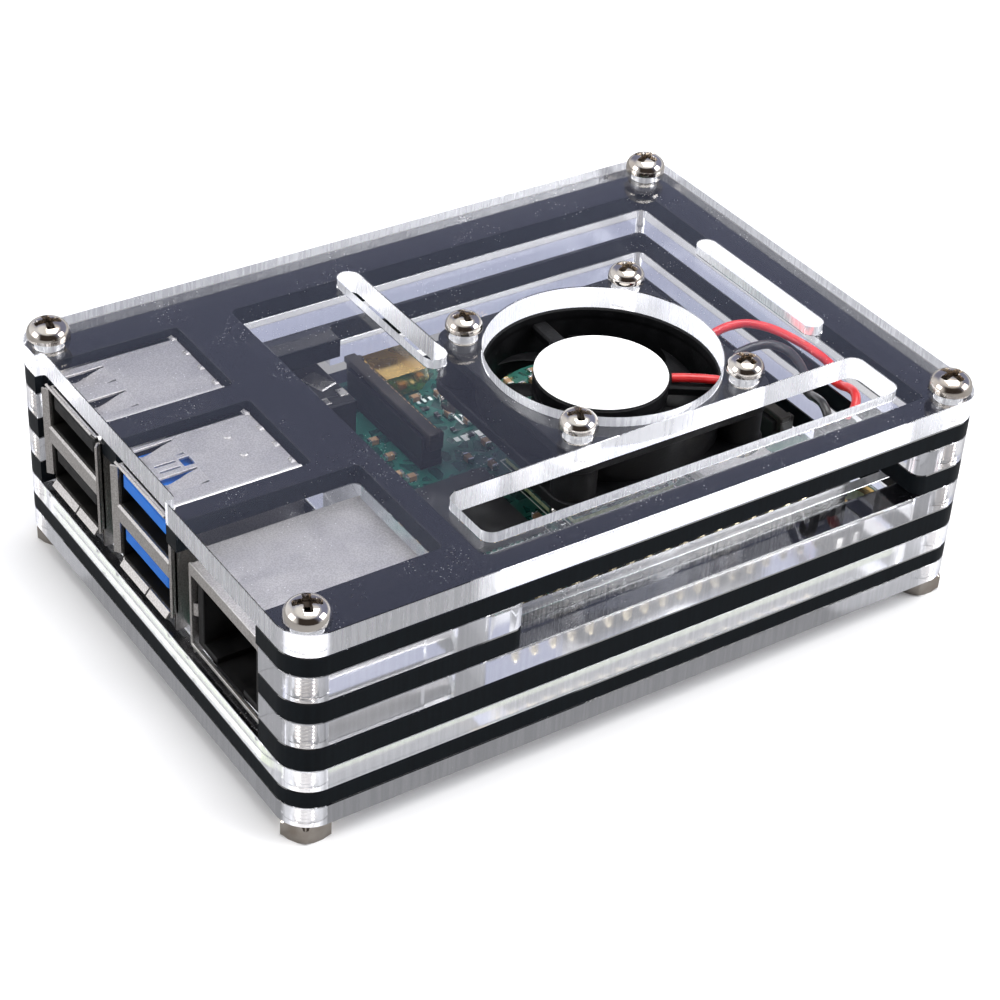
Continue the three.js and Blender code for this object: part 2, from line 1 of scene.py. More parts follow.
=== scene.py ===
"""A single board computer in a case of nine stacked acrylic plates, with a cooling fan under the lid."""
import math
import bpy
import numpy as np
from mathutils.geometry import tessellate_polygon
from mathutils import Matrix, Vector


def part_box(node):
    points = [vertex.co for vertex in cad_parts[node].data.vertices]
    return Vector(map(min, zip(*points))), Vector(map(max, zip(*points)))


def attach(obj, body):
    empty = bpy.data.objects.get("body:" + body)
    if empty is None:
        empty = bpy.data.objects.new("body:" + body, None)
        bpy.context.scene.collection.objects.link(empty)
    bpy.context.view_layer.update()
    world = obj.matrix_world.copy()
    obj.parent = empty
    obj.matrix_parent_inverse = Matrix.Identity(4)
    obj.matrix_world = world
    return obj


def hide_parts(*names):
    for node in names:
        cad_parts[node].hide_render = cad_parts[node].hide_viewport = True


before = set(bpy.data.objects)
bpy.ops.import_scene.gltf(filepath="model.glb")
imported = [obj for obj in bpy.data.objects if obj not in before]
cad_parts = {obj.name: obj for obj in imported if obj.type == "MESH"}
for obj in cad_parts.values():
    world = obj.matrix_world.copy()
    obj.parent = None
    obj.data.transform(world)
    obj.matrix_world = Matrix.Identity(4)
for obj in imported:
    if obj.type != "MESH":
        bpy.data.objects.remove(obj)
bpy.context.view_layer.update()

# ---- Camera, floor and light ----
# The viewer looks down on the corner between the sockets' side and the pin header's side.
# A pale floor and a white light tent with one blue-grey wall and a warm dark gap stand around the case. In
# reflections the floor is painted a dark grey, a painted shade.
scene = bpy.context.scene
scene.view_settings.view_transform = "Standard"
scene.cycles.max_bounces = 20
scene.cycles.transmission_bounces = 18
scene.cycles.transparent_max_bounces = 24
camera = bpy.data.objects.new("camera", bpy.data.cameras.new("camera"))
camera.data.lens = 88.56
camera.data.sensor_width = 36
camera.data.clip_start = 0.01
camera.location = (0.14094, 0.19891, 0.18441)
camera.rotation_euler = [math.radians(angle) for angle in (54.178, -2.943, 146.558)]
scene.collection.objects.link(camera)
scene.camera = camera


def add_node(tree, kind, inputs=None, **settings):
    """A node with its settings, each input given a plain value or linked to another node's output."""
    made = tree.nodes.new(kind)
    for name, value in settings.items():
        setattr(made, name, value)
    for key, value in (inputs or {}).items():
        if isinstance(value, bpy.types.NodeSocket):
            tree.links.new(value, made.inputs[key])
        else:
            made.inputs[key].default_value = value
    return made


def compute(tree, operation, first, second=0.0):
    """The result of one Math node."""
    return add_node(tree, "ShaderNodeMath", {0: first, 1: second}, operation=operation).outputs[0]


def ramp(tree, value, low, high, out_low=0.0, out_high=1.0):
    """The value carried smoothly from between low and high to between out_low and out_high."""
    return add_node(tree, "ShaderNodeMapRange", {0: value, 1: low, 2: high, 3: out_low, 4: out_high},
                    interpolation_type="SMOOTHSTEP").outputs[0]


def blend(tree, factor, first, second):
    """Two colours mixed by the factor."""
    made = add_node(tree, "ShaderNodeMix", {0: factor, 6: first, 7: second}, data_type="RGBA")
    return made.outputs[2]


def new_material(name):
    """A material with one Principled shader on its output, given with its node tree and that shader."""
    material = bpy.data.materials.new(name)
    material.use_nodes = True
    tree = material.node_tree
    tree.nodes.clear()
    shader = tree.nodes.new("ShaderNodeBsdfPrincipled")
    output = tree.nodes.new("ShaderNodeOutputMaterial")
    tree.links.new(shader.outputs[0], output.inputs[0])
    return material, tree, shader


def set_sockets(tree, shader, **values):
    """Puts values or links on a shader's sockets, named in lower case with underscores."""
    for name, value in values.items():
        socket = shader.inputs[" ".join(word.upper() if word == "ior" else word.capitalize()
                                        for word in name.split("_"))]
        if isinstance(value, bpy.types.NodeSocket):
            tree.links.new(value, socket)
        else:
            socket.default_value = value


world = bpy.data.worlds.new("light_tent")
scene.world = world
world.use_nodes = True
sky = world.node_tree
direction = add_node(sky, "ShaderNodeTexCoord").outputs["Generated"]
height = add_node(sky, "ShaderNodeSeparateXYZ", {0: direction}).outputs["Z"]
towards_camera = add_node(sky, "ShaderNodeVectorMath", {0: direction, 1: (0.58, 0.81, 0.0)},
                          operation="DOT_PRODUCT").outputs["Value"]
towards_ports = add_node(sky, "ShaderNodeVectorMath", {0: direction, 1: (0.81, -0.58, 0.0)},
                         operation="DOT_PRODUCT").outputs["Value"]
wall = blend(sky, ramp(sky, height, 0.0, 0.3), (0.95, 0.95, 0.96, 1), (0.27, 0.29, 0.42, 1))
gap = blend(sky, ramp(sky, towards_camera, 0.25, 0.65), wall, (0.05, 0.04, 0.035, 1))
bright_side = blend(sky, ramp(sky, towards_ports, 0.45, 0.8), gap, (0.9, 0.9, 0.92, 1))
tent = blend(sky, ramp(sky, height, 0.66, 0.86), bright_side, (1.0, 1.0, 1.0, 1))
background = sky.nodes["Background"]
sky.links.new(tent, background.inputs["Color"])
background.inputs["Strength"].default_value = 1.0

floor_material, tree, shader = new_material("pale_floor")
place = add_node(tree, "ShaderNodeTexCoord").outputs["Object"]
fleck = add_node(tree, "ShaderNodeTexNoise", {"Vector": place, "Scale": 90.0})
paper = blend(tree, fleck.outputs[0], (0.93, 0.93, 0.93, 1), (0.95, 0.95, 0.95, 1))
# Painted shade: glossy rays see the floor dark grey, standing in for the shaded floor round the case, while
# the camera sees it pale.
mirrored = add_node(tree, "ShaderNodeLightPath").outputs["Is Glossy Ray"]
set_sockets(tree, shader, base_color=blend(tree, mirrored, paper, (0.30, 0.295, 0.29, 1)), roughness=0.9,
            specular_ior_level=0.1)
floor_mesh = bpy.data.meshes.new("floor")
floor_mesh.from_pydata([(-4, -4, 0), (4, -4, 0), (4, 4, 0), (-4, 4, 0)], [], [(0, 1, 2, 3)])
floor_mesh.materials.append(floor_material)
floor = bpy.data.objects.new("floor", floor_mesh)
scene.collection.objects.link(floor)


def soft_light(name, place, aim, size, power):
    """A square light of that size in metres that looks at the aim."""
    light = bpy.data.lights.new(name, "AREA")
    light.size = size
    light.energy = power
    lamp = bpy.data.objects.new(name, light)
    lamp.location = place
    view = np.array(aim) - np.array(place)
    tilt = math.acos(-view[2] / np.linalg.norm(view))
    lamp.rotation_euler = (tilt, 0, math.atan2(view[1], view[0]) - math.pi / 2)
    scene.collection.objects.link(lamp)


soft_light("overhead_light", (-0.12, 0.06, 0.75), (0, 0, 0.01), 0.55, 5.0)
soft_light("sockets_light", (0.7, -0.2, 0.3), (0, 0, 0.01), 0.4, 2.0)
soft_light("far_light", (-0.55, 0.45, 0.35), (0, 0, 0.01), 0.4, 3.0)

# ---- Fan wires and plugs ----
# Two thin stranded leads in PVC run from the fan's corner to two single-pin plugs on the pin header.
# A third short lead crosses one strut from the motor to the rim. Each is a round tube along a smooth route.
MILLIMETRE = 0.001
WIRE_RADIUS = 0.55


def grid_faces(rows, columns):
    """Quads over a grid of points whose columns close into a ring."""
    row, column = np.meshgrid(np.arange(rows - 1), np.arange(columns), indexing="ij")
    following = (column + 1) % columns
    quads = np.stack([row * columns + column, row * columns + following,
                      (row + 1) * columns + following, (row + 1) * columns + column], axis=-1)
    return quads.reshape(-1, 4).tolist()


def skin(rings):
    """A closed solid from rings of points (rows, columns, 3) along a path, with a flat cap at each end."""
    rows, columns = rings.shape[:2]
    faces = grid_faces(rows, columns)
    faces.append(list(range(columns))[::-1])
    faces.append(list(range((rows - 1) * columns, rows * columns)))
    return rings.reshape(-1, 3), faces


def smooth_route(points, steps):
    """Catmull-Rom: between two points the line is the cubic that also heeds their outer neighbours."""
    knots = np.array(points, dtype=float)
    knots = np.vstack([2 * knots[0] - knots[1], knots, 2 * knots[-1] - knots[-2]])
    part = np.linspace(0, len(points) - 1 - 1e-9, steps)
    index = part.astype(int)
    t = (part - index)[:, None]
    p0, p1, p2, p3 = (knots[index + k] for k in range(4))
    return 0.5 * (2 * p1 + (p2 - p0) * t + (2 * p0 - 5 * p1 + 4 * p2 - p3) * t ** 2
                  + (3 * p1 - p0 - 3 * p2 + p3) * t ** 3)


def tube(line, radius, sides=16, lean=(0.6, -0.6, 0.5)):
    """A circle carried along the line: centre plus radius times the two unit vectors square to the line."""
    along = np.gradient(line, axis=0)
    along /= np.linalg.norm(along, axis=1, keepdims=True)
    first = np.cross(along, lean)
    first /= np.linalg.norm(first, axis=1, keepdims=True)
    second = np.cross(along, first)
    turn = np.linspace(0, 2 * np.pi, sides, endpoint=False)[None, :, None]
    size = np.broadcast_to(radius, len(line))[:, None, None]
    return skin(line[:, None] + size * (np.cos(turn) * first[:, None] + np.sin(turn) * second[:, None]))


def make_piece(name, body, material, *shapes, slot, replaces=(), sharp=35):
    """One object from shapes in millimetres, riding on a body. Edges sharper than the angle stay crisp."""
    points = np.vstack([shape[0] for shape in shapes]) * MILLIMETRE
    starts = np.cumsum([0] + [len(shape[0]) for shape in shapes])
    faces = [[start + corner for corner in face] for start, shape in zip(starts, shapes) for face in shape[1]]
    mesh = bpy.data.meshes.new(name)
    mesh.from_pydata(points.tolist(), [], faces)
    mesh.shade_smooth()
    mesh.set_sharp_from_angle(angle=math.radians(sharp))
    mesh.materials.append(material)
    made = bpy.data.objects.new(name, mesh)
    scene.collection.objects.link(made)
    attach(made, body)
    if replaces:
        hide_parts(*replaces)


def effect_group(name, inputs, outputs):
    """A shader node group with those inputs (name to start value) and outputs (name to socket kind)."""
    group = bpy.data.node_groups.new(name, "ShaderNodeTree")
    for label, start in inputs.items():
        socket = group.interface.new_socket(label, in_out="INPUT", socket_type="NodeSocketFloat")
        socket.default_value = start
    for label, kind in outputs.items():
        group.interface.new_socket(label, in_out="OUTPUT", socket_type=kind)
    return group, group.nodes.new("NodeGroupInput"), group.nodes.new("NodeGroupOutput")


# Grain: fine pits, and a slow change of tone from one place to the next.
grain, given, result = effect_group("moulded_grain", {"Pit Scale": 6000.0, "Tone Scale": 300.0},
                                    {"Pits": "NodeSocketFloat", "Tone": "NodeSocketFloat"})
place = add_node(grain, "ShaderNodeTexCoord").outputs["Object"]
pits = add_node(grain, "ShaderNodeTexNoise",
                {"Vector": place, "Scale": given.outputs["Pit Scale"], "Detail": 2.0})
tone = add_node(grain, "ShaderNodeTexNoise",
                {"Vector": place, "Scale": given.outputs["Tone Scale"], "Detail": 4.0})
grain.links.new(pits.outputs[0], result.inputs["Pits"])
grain.links.new(ramp(grain, tone.outputs[0], 0.3, 0.7), result.inputs["Tone"])


def bumped(tree, height, distance):
    """A normal that follows the height, in metres of relief."""
    return add_node(tree, "ShaderNodeBump", {"Height": height, "Distance": distance}).outputs[0]


def grained(name, dark, light, gloss, pit_scale=6000.0, pit_depth=0.00002, **constants):
    """A plain finish: two tones of one colour, roughness between the two gloss values, and fine pits."""
    material, tree, shader = new_material(name)
    flow = add_node(tree, "ShaderNodeGroup", node_tree=grain)
    flow.inputs["Pit Scale"].default_value = pit_scale
    set_sockets(tree, shader, base_color=blend(tree, flow.outputs["Tone"], (*dark, 1), (*light, 1)),
                roughness=ramp(tree, flow.outputs["Tone"], 0.0, 1.0, *gloss),
                normal=bumped(tree, flow.outputs["Pits"], pit_depth), **constants)
    return material


red_wire = grained("wire_red", (0.45, 0.008, 0.010), (0.62, 0.02, 0.02), (0.28, 0.42), 2500.0, 0.00003,
                   coat_weight=0.2)
black_wire = grained("wire_black", (0.010, 0.010, 0.011), (0.024, 0.023, 0.024), (0.28, 0.42), 2500.0,
                     0.00003, coat_weight=0.2)
WIRE_RISE = 2.4
RED_ROUTE = [(-27.7, 3.6, 21.3), (-29, 3.7, 21.8), (-31.2, 3.9, 22.3), (-33.4, 4.8, 22.55),
             (-35, 6.7, 22.6), (-35.9, 9, 22.6), (-36.5, 12, 22.6), (-36.8, 15, 22.5),
             (-36.7, 17.6, 22.4), (-36.4, 19.6, 22.75), (-36.1, 21.2, 23.4), (-35.6, 22.8, 23.8),
             (-34.9, 24, 23.6), (-34, 24.7, 22.9), (-33.25, 24.85, 21.9), (-32.93, 24.77, 20.7)]
BLACK_ROUTE = [(-27.7, 8.6, 21.3), (-29.2, 8.8, 21.9), (-31.2, 9.1, 22.3), (-33.1, 10, 22.5),
               (-33.9, 12.2, 22.6), (-33.6, 14.6, 22.5), (-32.6, 17.2, 22.4), (-31.8, 19.4, 22.75),
               (-31.3, 21, 23.35), (-30.85, 22.6, 23.7), (-30.5, 23.9, 23.3), (-30.39, 24.6, 22.3),
               (-30.39, 24.77, 20.7)]
for colour, route, finish in (("red", RED_ROUTE, red_wire), ("black", BLACK_ROUTE, black_wire)):
    line = smooth_route(np.array(route) + (0, 0, WIRE_RISE), 110)
    make_piece(f"lead_{colour}", "case", finish, tube(line, WIRE_RADIUS, 20),
               replaces=[f"fan_wire_{colour}"], slot=f"wire_{colour}")


def span(node):
    """A CAD node's lowest and highest corner, in millimetres."""
    low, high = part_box(node)
    return np.array(low) / MILLIMETRE, np.array(high) / MILLIMETRE


fan_low, fan_high = span("fan_frame")
FAN_CENTRE = (fan_low[:2] + fan_high[:2]) / 2
STRUT_TURNS = (-93, 27, 147)
lead_turn = math.radians(STRUT_TURNS[2])
lead_reach = np.array([8.5, 10, 12, 14, 16.2])
lead_lift = np.array([0.55, 0.62, 0.62, 0.5, 0.35]) + fan_high[2] - 1.15
lead_line = np.stack([FAN_CENTRE[0] + lead_reach * math.cos(lead_turn),
                      FAN_CENTRE[1] + lead_reach * math.sin(lead_turn), lead_lift], axis=1)
make_piece("lead_over_strut", "case", red_wire, tube(smooth_route(lead_line, 40), WIRE_RADIUS, 20, (0, 0, 1)),
           replaces=["fan_hub_lead"], slot="wire_red")


def signed_area(loop):
    """Half the sum of the cross products of neighbours, positive for a loop that runs anticlockwise."""
    following = np.roll(loop, -1, axis=0)
    return 0.5 * np.sum(loop[:, 0] * following[:, 1] - loop[:, 1] * following[:, 0])


def outline(*corners, steps=9):
    """A closed loop through corners (x, y, radius). A round corner is an arc that touches both its sides."""
    path = []
    for index, (x, y, radius) in enumerate(corners):
        here = np.array([x, y], dtype=float)
        if radius == 0:
            path.append(here[None])
            continue
        back = np.array(corners[index - 1][:2]) - here
        ahead = np.array(corners[(index + 1) % len(corners)][:2]) - here
        back /= np.linalg.norm(back)
        ahead /= np.linalg.norm(ahead)
        half = math.acos(np.clip(back @ ahead, -1, 1)) / 2
        touch = radius / math.tan(half)
        middle = here + (back + ahead) / np.linalg.norm(back + ahead) * radius / math.sin(half)
        start = here + back * touch - middle
        end = here + ahead * touch - middle
        sweep = math.pi - 2 * half
        share = np.linspace(0, 1, steps)[:, None]
        arc = np.sin((1 - share) * sweep) * start + np.sin(share * sweep) * end
        path.append(middle + arc / math.sin(sweep))
    return np.vstack(path)


def box_loop(x0, x1, y0, y1, radius=0.0, steps=9):
    """A rectangle with round corners."""
    return outline((x0, y0, radius), (x1, y0, radius), (x1, y1, radius), (x0, y1, radius), steps=steps)


def circle(x, y, radius, sides=40):
    """Points at equal turns round a centre."""
    turn = np.linspace(0, 2 * np.pi, sides, endpoint=False)
    return np.stack([x + radius * np.cos(turn), y + radius * np.sin(turn)], axis=1)


def plate(loops, low, high, chamfer=0.08, along="z"):
    """A flat sheet from an outer loop and its holes. Each loop is carried up in four rings, the first and
    last drawn in by the chamfer along the loop's own normals. along is the axis of the thickness, the loops
    lying in the other two axes in turn: x and y for z, y and z for x, z and x for y."""
    turned = [loop if (signed_area(loop) > 0) == (index == 0) else loop[::-1]
              for index, loop in enumerate(loops)]
    points, faces, caps, start = [], [], [], 0
    for loop in turned:
        count = len(loop)
        edge = np.roll(loop, -1, axis=0) - loop
        edge /= np.linalg.norm(edge, axis=1, keepdims=True)
        side = np.stack([edge[:, 1], -edge[:, 0]], axis=1)
        corner = side + np.roll(side, 1, axis=0)
        corner /= np.linalg.norm(corner, axis=1, keepdims=True)
        drawn_in = loop - corner * chamfer / np.maximum(np.sum(corner * side, axis=1), 0.4)[:, None]
        rings = [(drawn_in, low), (loop, low + chamfer), (loop, high - chamfer), (drawn_in, high)]
        points.append(np.vstack([np.column_stack([ring, np.full(count, z)]) for ring, z in rings]))
        faces += [[start + corner_index for corner_index in face] for face in grid_faces(4, count)]
        caps.append((drawn_in, start, count))
        start += 4 * count
    flat = [[(x, y, 0.0) for x, y in loop] for loop, _, _ in caps]
    triangles = np.array(tessellate_polygon(flat))
    bottom = np.concatenate([np.arange(first, first + count) for _, first, count in caps])
    top = np.concatenate([np.arange(first + 3 * count, first + 4 * count) for _, first, count in caps])
    loose = np.vstack([loop for loop, _, _ in caps])
    a, b, c = (loose[triangles[:, k]] for k in range(3))
    area = (b[:, 0] - a[:, 0]) * (c[:, 1] - a[:, 1]) - (b[:, 1] - a[:, 1]) * (c[:, 0] - a[:, 0])
    triangles = np.where((area < 0)[:, None], triangles[:, ::-1], triangles)
    faces += top[triangles].tolist() + bottom[triangles[:, ::-1]].tolist()
    order = {"z": [0, 1, 2], "x": [2, 0, 1], "y": [1, 2, 0]}[along]
    return np.vstack(points)[:, order], faces


def bar(low, high, chamfer=0.08):
    """A block between two corners with chamfered edges."""
    return plate([box_loop(low[0], high[0], low[1], high[1])], low[2], high[2], chamfer)


black_plastic = grained("black_plastic", (0.006, 0.006, 0.0065), (0.013, 0.013, 0.014), (0.38, 0.55),
                        specular_ior_level=0.25)
contact_tin = grained("contact_tin", (0.62, 0.60, 0.57), (0.80, 0.78, 0.74), (0.2, 0.36), pit_depth=0.00001,
                      metallic=1.0)
for colour in ("red", "black"):
    low, high = span(f"fan_plug_{colour}")
    middle = (low + high) / 2
    body = box_loop(low[0], high[0], low[1], high[1], 0.15)
    pin_hole = box_loop(middle[0] - 0.55, middle[0] + 0.55, middle[1] - 0.55, middle[1] + 0.55)
    walls = plate([body, pin_hole], low[2], low[2] + 6.2, 0.06)
    neck = plate([body], low[2] + 6.2, high[2] - 0.5, 0.1)
    collar = plate([box_loop(low[0] + 0.25, high[0] - 0.25, low[1] + 0.25, high[1] - 0.25, 0.2)],
                   high[2] - 0.6, high[2], 0.1)
    make_piece(f"plug_housing_{colour}", "case", black_plastic, walls, neck, collar,
               replaces=[f"fan_plug_{colour}"], slot="black_plastic")
    spring = plate([box_loop(low[2] + 4.5, low[2] + 8.3, middle[0] - 0.45, middle[0] + 0.45, 0.1)],
                   high[1] - 0.02, high[1] + 0.06, 0.02, along="y")
    make_piece(f"plug_spring_{colour}", "case", contact_tin, spring, slot="nickel")

# ---- Acrylic plates of the case ----
# Nine laser-cut plates of cast acrylic, clear and black in turn, clamped by the four case screws.
# Faces are polished. Cut walls carry fine upright lines from the laser, and on the clear plates they carry a
# painted glow: an emission that stands in for light carried in the sheet.
HALF_LENGTH = 46.68
HALF_WIDTH = 33.58
CORNER = 4
SCREW_X = 43.4
SCREW_Y = 30.4
FAN_SCREW = 12
SCREW_HOLE = 1.7
QUARTERS = [(x, y) for x in (1, -1) for y in (1, -1)]
CASE_SCREWS = [(SCREW_X * x, SCREW_Y * y) for x, y in QUARTERS]
FAN_SCREWS = [(FAN_CENTRE[0] + FAN_SCREW * x, FAN_CENTRE[1] + FAN_SCREW * y) for x, y in QUARTERS]

cut_edge, given, result = effect_group("cut_edge", {"Line Scale": 2600.0},
                                       {"Wall": "NodeSocketFloat", "Lines": "NodeSocketFloat"})
coordinates = add_node(cut_edge, "ShaderNodeTexCoord")
facing = add_node(cut_edge, "ShaderNodeSeparateXYZ", {0: coordinates.outputs["Normal"]}).outputs["Z"]
upright = compute(cut_edge, "LESS_THAN", compute(cut_edge, "ABSOLUTE", facing), 0.3)
spot = add_node(cut_edge, "ShaderNodeSeparateXYZ", {0: coordinates.outputs["Object"]})
squashed = compute(cut_edge, "MULTIPLY", spot.outputs[2], 0.03)
stretched = add_node(cut_edge, "ShaderNodeCombineXYZ", {0: spot.outputs[0], 1: spot.outputs[1], 2: squashed})
lines = add_node(cut_edge, "ShaderNodeTexNoise", {"Vector": stretched.outputs[0],
                                                  "Scale": given.outputs["Line Scale"], "Detail": 3.0})
cut_edge.links.new(upright, result.inputs["Wall"])
cut_edge.links.new(ramp(cut_edge, lines.outputs[0], 0.3, 0.7), result.inputs["Lines"])

# Handling: dust specks that are round and sparse, and broad finger smears.
handling, given, result = effect_group("handling", {"Speck Scale": 1900.0, "Speck Size": 0.13},
                                       {"Specks": "NodeSocketFloat", "Smears": "NodeSocketFloat"})
coordinates = add_node(handling, "ShaderNodeTexCoord")
place = coordinates.outputs["Object"]
cells = add_node(handling, "ShaderNodeTexVoronoi", {"Vector": place, "Scale": given.outputs["Speck Scale"]})
sparse = add_node(handling, "ShaderNodeTexNoise", {"Vector": place, "Scale": 160.0, "Detail": 2.0})
round_speck = compute(handling, "LESS_THAN", cells.outputs["Distance"], given.outputs["Speck Size"])
level = add_node(handling, "ShaderNodeSeparateXYZ", {0: coordinates.outputs["Normal"]})
on_face = compute(handling, "GREATER_THAN", level.outputs["Z"], 0.7)
dusty = compute(handling, "MULTIPLY", on_face, ramp(handling, sparse.outputs[0], 0.5, 0.66))
handling.links.new(compute(handling, "MULTIPLY", round_speck, dusty), result.inputs["Specks"])
smear = add_node(handling, "ShaderNodeTexNoise",
                 {"Vector": place, "Scale": 55.0, "Detail": 5.0, "Distortion": 0.8})
handling.links.new(ramp(handling, smear.outputs[0], 0.35, 0.75), result.inputs["Smears"])


def clear_sheet(name, frost, painted_glow_strength):
    """Clear acrylic: polished faces, and cut walls as rough as frost that carry a painted glow, an emission
    of the given strength.
    """
    material, tree, shader = new_material(name)
    cut = add_node(tree, "ShaderNodeGroup", node_tree=cut_edge)
    touch = add_node(tree, "ShaderNodeGroup", node_tree=handling)
    wall_rough = ramp(tree, cut.outputs["Lines"], 0, 1, 0.7 * frost, frost)
    face_rough = ramp(tree, touch.outputs["Smears"], 0, 1, 0.0, 0.03)
    rough = compute(tree, "ADD", compute(tree, "MULTIPLY", cut.outputs["Wall"], wall_rough),
                   compute(tree, "MULTIPLY", touch.outputs["Specks"], 0.4))
    # Painted glow: the cut walls emit a pale light, stronger along the laser lines.
    painted_glow_mask = compute(tree, "MULTIPLY", cut.outputs["Wall"], ramp(tree, cut.outputs["Lines"], 0, 1, 0.88, 1.0))
    ridges = compute(tree, "MULTIPLY", cut.outputs["Wall"], cut.outputs["Lines"])
    set_sockets(tree, shader, transmission_weight=1.0, ior=1.49, base_color=(0.97, 0.975, 0.99, 1),
                roughness=compute(tree, "ADD", rough, face_rough), emission_strength=painted_glow_strength,
                emission_color=blend(tree, painted_glow_mask, (0, 0, 0, 1), (0.90, 0.91, 0.97, 1)),
                normal=bumped(tree, ridges, 0.000004))
    see_through = add_node(tree, "ShaderNodeBsdfTransparent", {"Color": (0.93, 0.93, 0.95, 1)})
    lamp_ray = add_node(tree, "ShaderNodeLightPath").outputs["Is Shadow Ray"]
    passing = add_node(tree, "ShaderNodeMixShader",
                       {0: lamp_ray, 1: shader.outputs[0], 2: see_through.outputs[0]})
    tree.links.new(passing.outputs[0], tree.nodes["Material Output"].inputs["Surface"])
    return material


# The last number of each sheet is the strength of the painted glow on its cut walls.
lid_acrylic = clear_sheet("acrylic_clear_lid", 0.3, 0.42)
layer_acrylic = clear_sheet("acrylic_clear_upper", 0.14, 0.13)
base_acrylic = clear_sheet("acrylic_clear_lower", 0.2, 0.27)
SHEET_FINISH = {"lid_plate": lid_acrylic, "layer_7_clear": base_acrylic, "base_plate": base_acrylic}

black_acrylic, tree, shader = new_material("acrylic_black")
cut = add_node(tree, "ShaderNodeGroup", node_tree=cut_edge)
cut.inputs["Line Scale"].default_value = 2200.0
touch = add_node(tree, "ShaderNodeGroup", node_tree=handling)
touch.inputs["Speck Scale"].default_value = 2300.0
edge_tone = ramp(tree, cut.outputs["Lines"], 0, 1, 0.7, 1.0)
ridges = compute(tree, "MULTIPLY", cut.outputs["Wall"], cut.outputs["Lines"])
dull = blend(tree, compute(tree, "MULTIPLY", cut.outputs["Wall"], edge_tone), (0.004, 0.004, 0.005, 1),
             (0.006, 0.0085, 0.011, 1))
set_sockets(tree, shader, base_color=blend(tree, touch.outputs["Specks"], dull, (0.35, 0.36, 0.38, 1)),
            roughness=ramp(tree, cut.outputs["Wall"], 0, 1, 0.12, 0.4), specular_ior_level=0.07,
            coat_weight=compute(tree, "SUBTRACT", 1.0, cut.outputs["Wall"]), coat_roughness=0.04,
            normal=bumped(tree, ridges, 0.000005))

WEST, EAST, SOUTH, NORTH = -HALF_LENGTH, HALF_LENGTH, -HALF_WIDTH, HALF_WIDTH
SOUTH_WEST, SOUTH_EAST = (WEST, SOUTH, CORNER), (EAST, SOUTH, CORNER)
NORTH_EAST, NORTH_WEST = (EAST, NORTH, CORNER), (WEST, NORTH, CORNER)
# Where the walls inside the plates run: the room round the board, the bay of the USB and network sockets, the
# line behind the sockets' flared lips, the window beside the pin header and the opening for the side ports.
ROOM_WEST, ROOM_EAST, ROOM_NORTH = -41.1, 21.1, 27.2
BAY_SOUTH, BAY_NORTH = -27.6, 26
BAY_BACK, NETWORK_BACK = 28.4, 24
FLANGE_LINE = 45.3
WINDOW_WEST, WINDOW_EAST = -37.5, 18.2
PORTS_WEST, PORTS_EAST = -36.2, 17.5
SOCKET_BAY = [(EAST, BAY_SOUTH, 0), (BAY_BACK, BAY_SOUTH, 1), (BAY_BACK, 7.8, 0), (NETWORK_BACK, 7.8, 1),
              (NETWORK_BACK, 25.6, 1), (BAY_BACK, 25.6, 0), (BAY_BACK, BAY_NORTH, 0), (EAST, BAY_NORTH, 0)]


def window_bay(*far_corners):
    """The open side beside the pin header, then round the inside past the given corners, and out again."""
    return [(WINDOW_EAST, NORTH, 1.5), (WINDOW_EAST, ROOM_NORTH, 0), (ROOM_EAST, ROOM_NORTH, 1), *far_corners,
            (ROOM_WEST, ROOM_NORTH, 1), (WINDOW_WEST, ROOM_NORTH, 0), (WINDOW_WEST, NORTH, 1.5)]


def port_bay(x0, near, far, west=ROOM_WEST, east=ROOM_EAST, radius=1.0):
    """The open side for the power, video and audio plugs, round the inside and out again."""
    inner = [(west, near, radius), (west, far, radius), (east, far, radius), (east, near, radius)]
    return [(x0, SOUTH, 0), (x0, near, 0), *inner, (PORTS_EAST, near, 0), (PORTS_EAST, SOUTH, 0)]


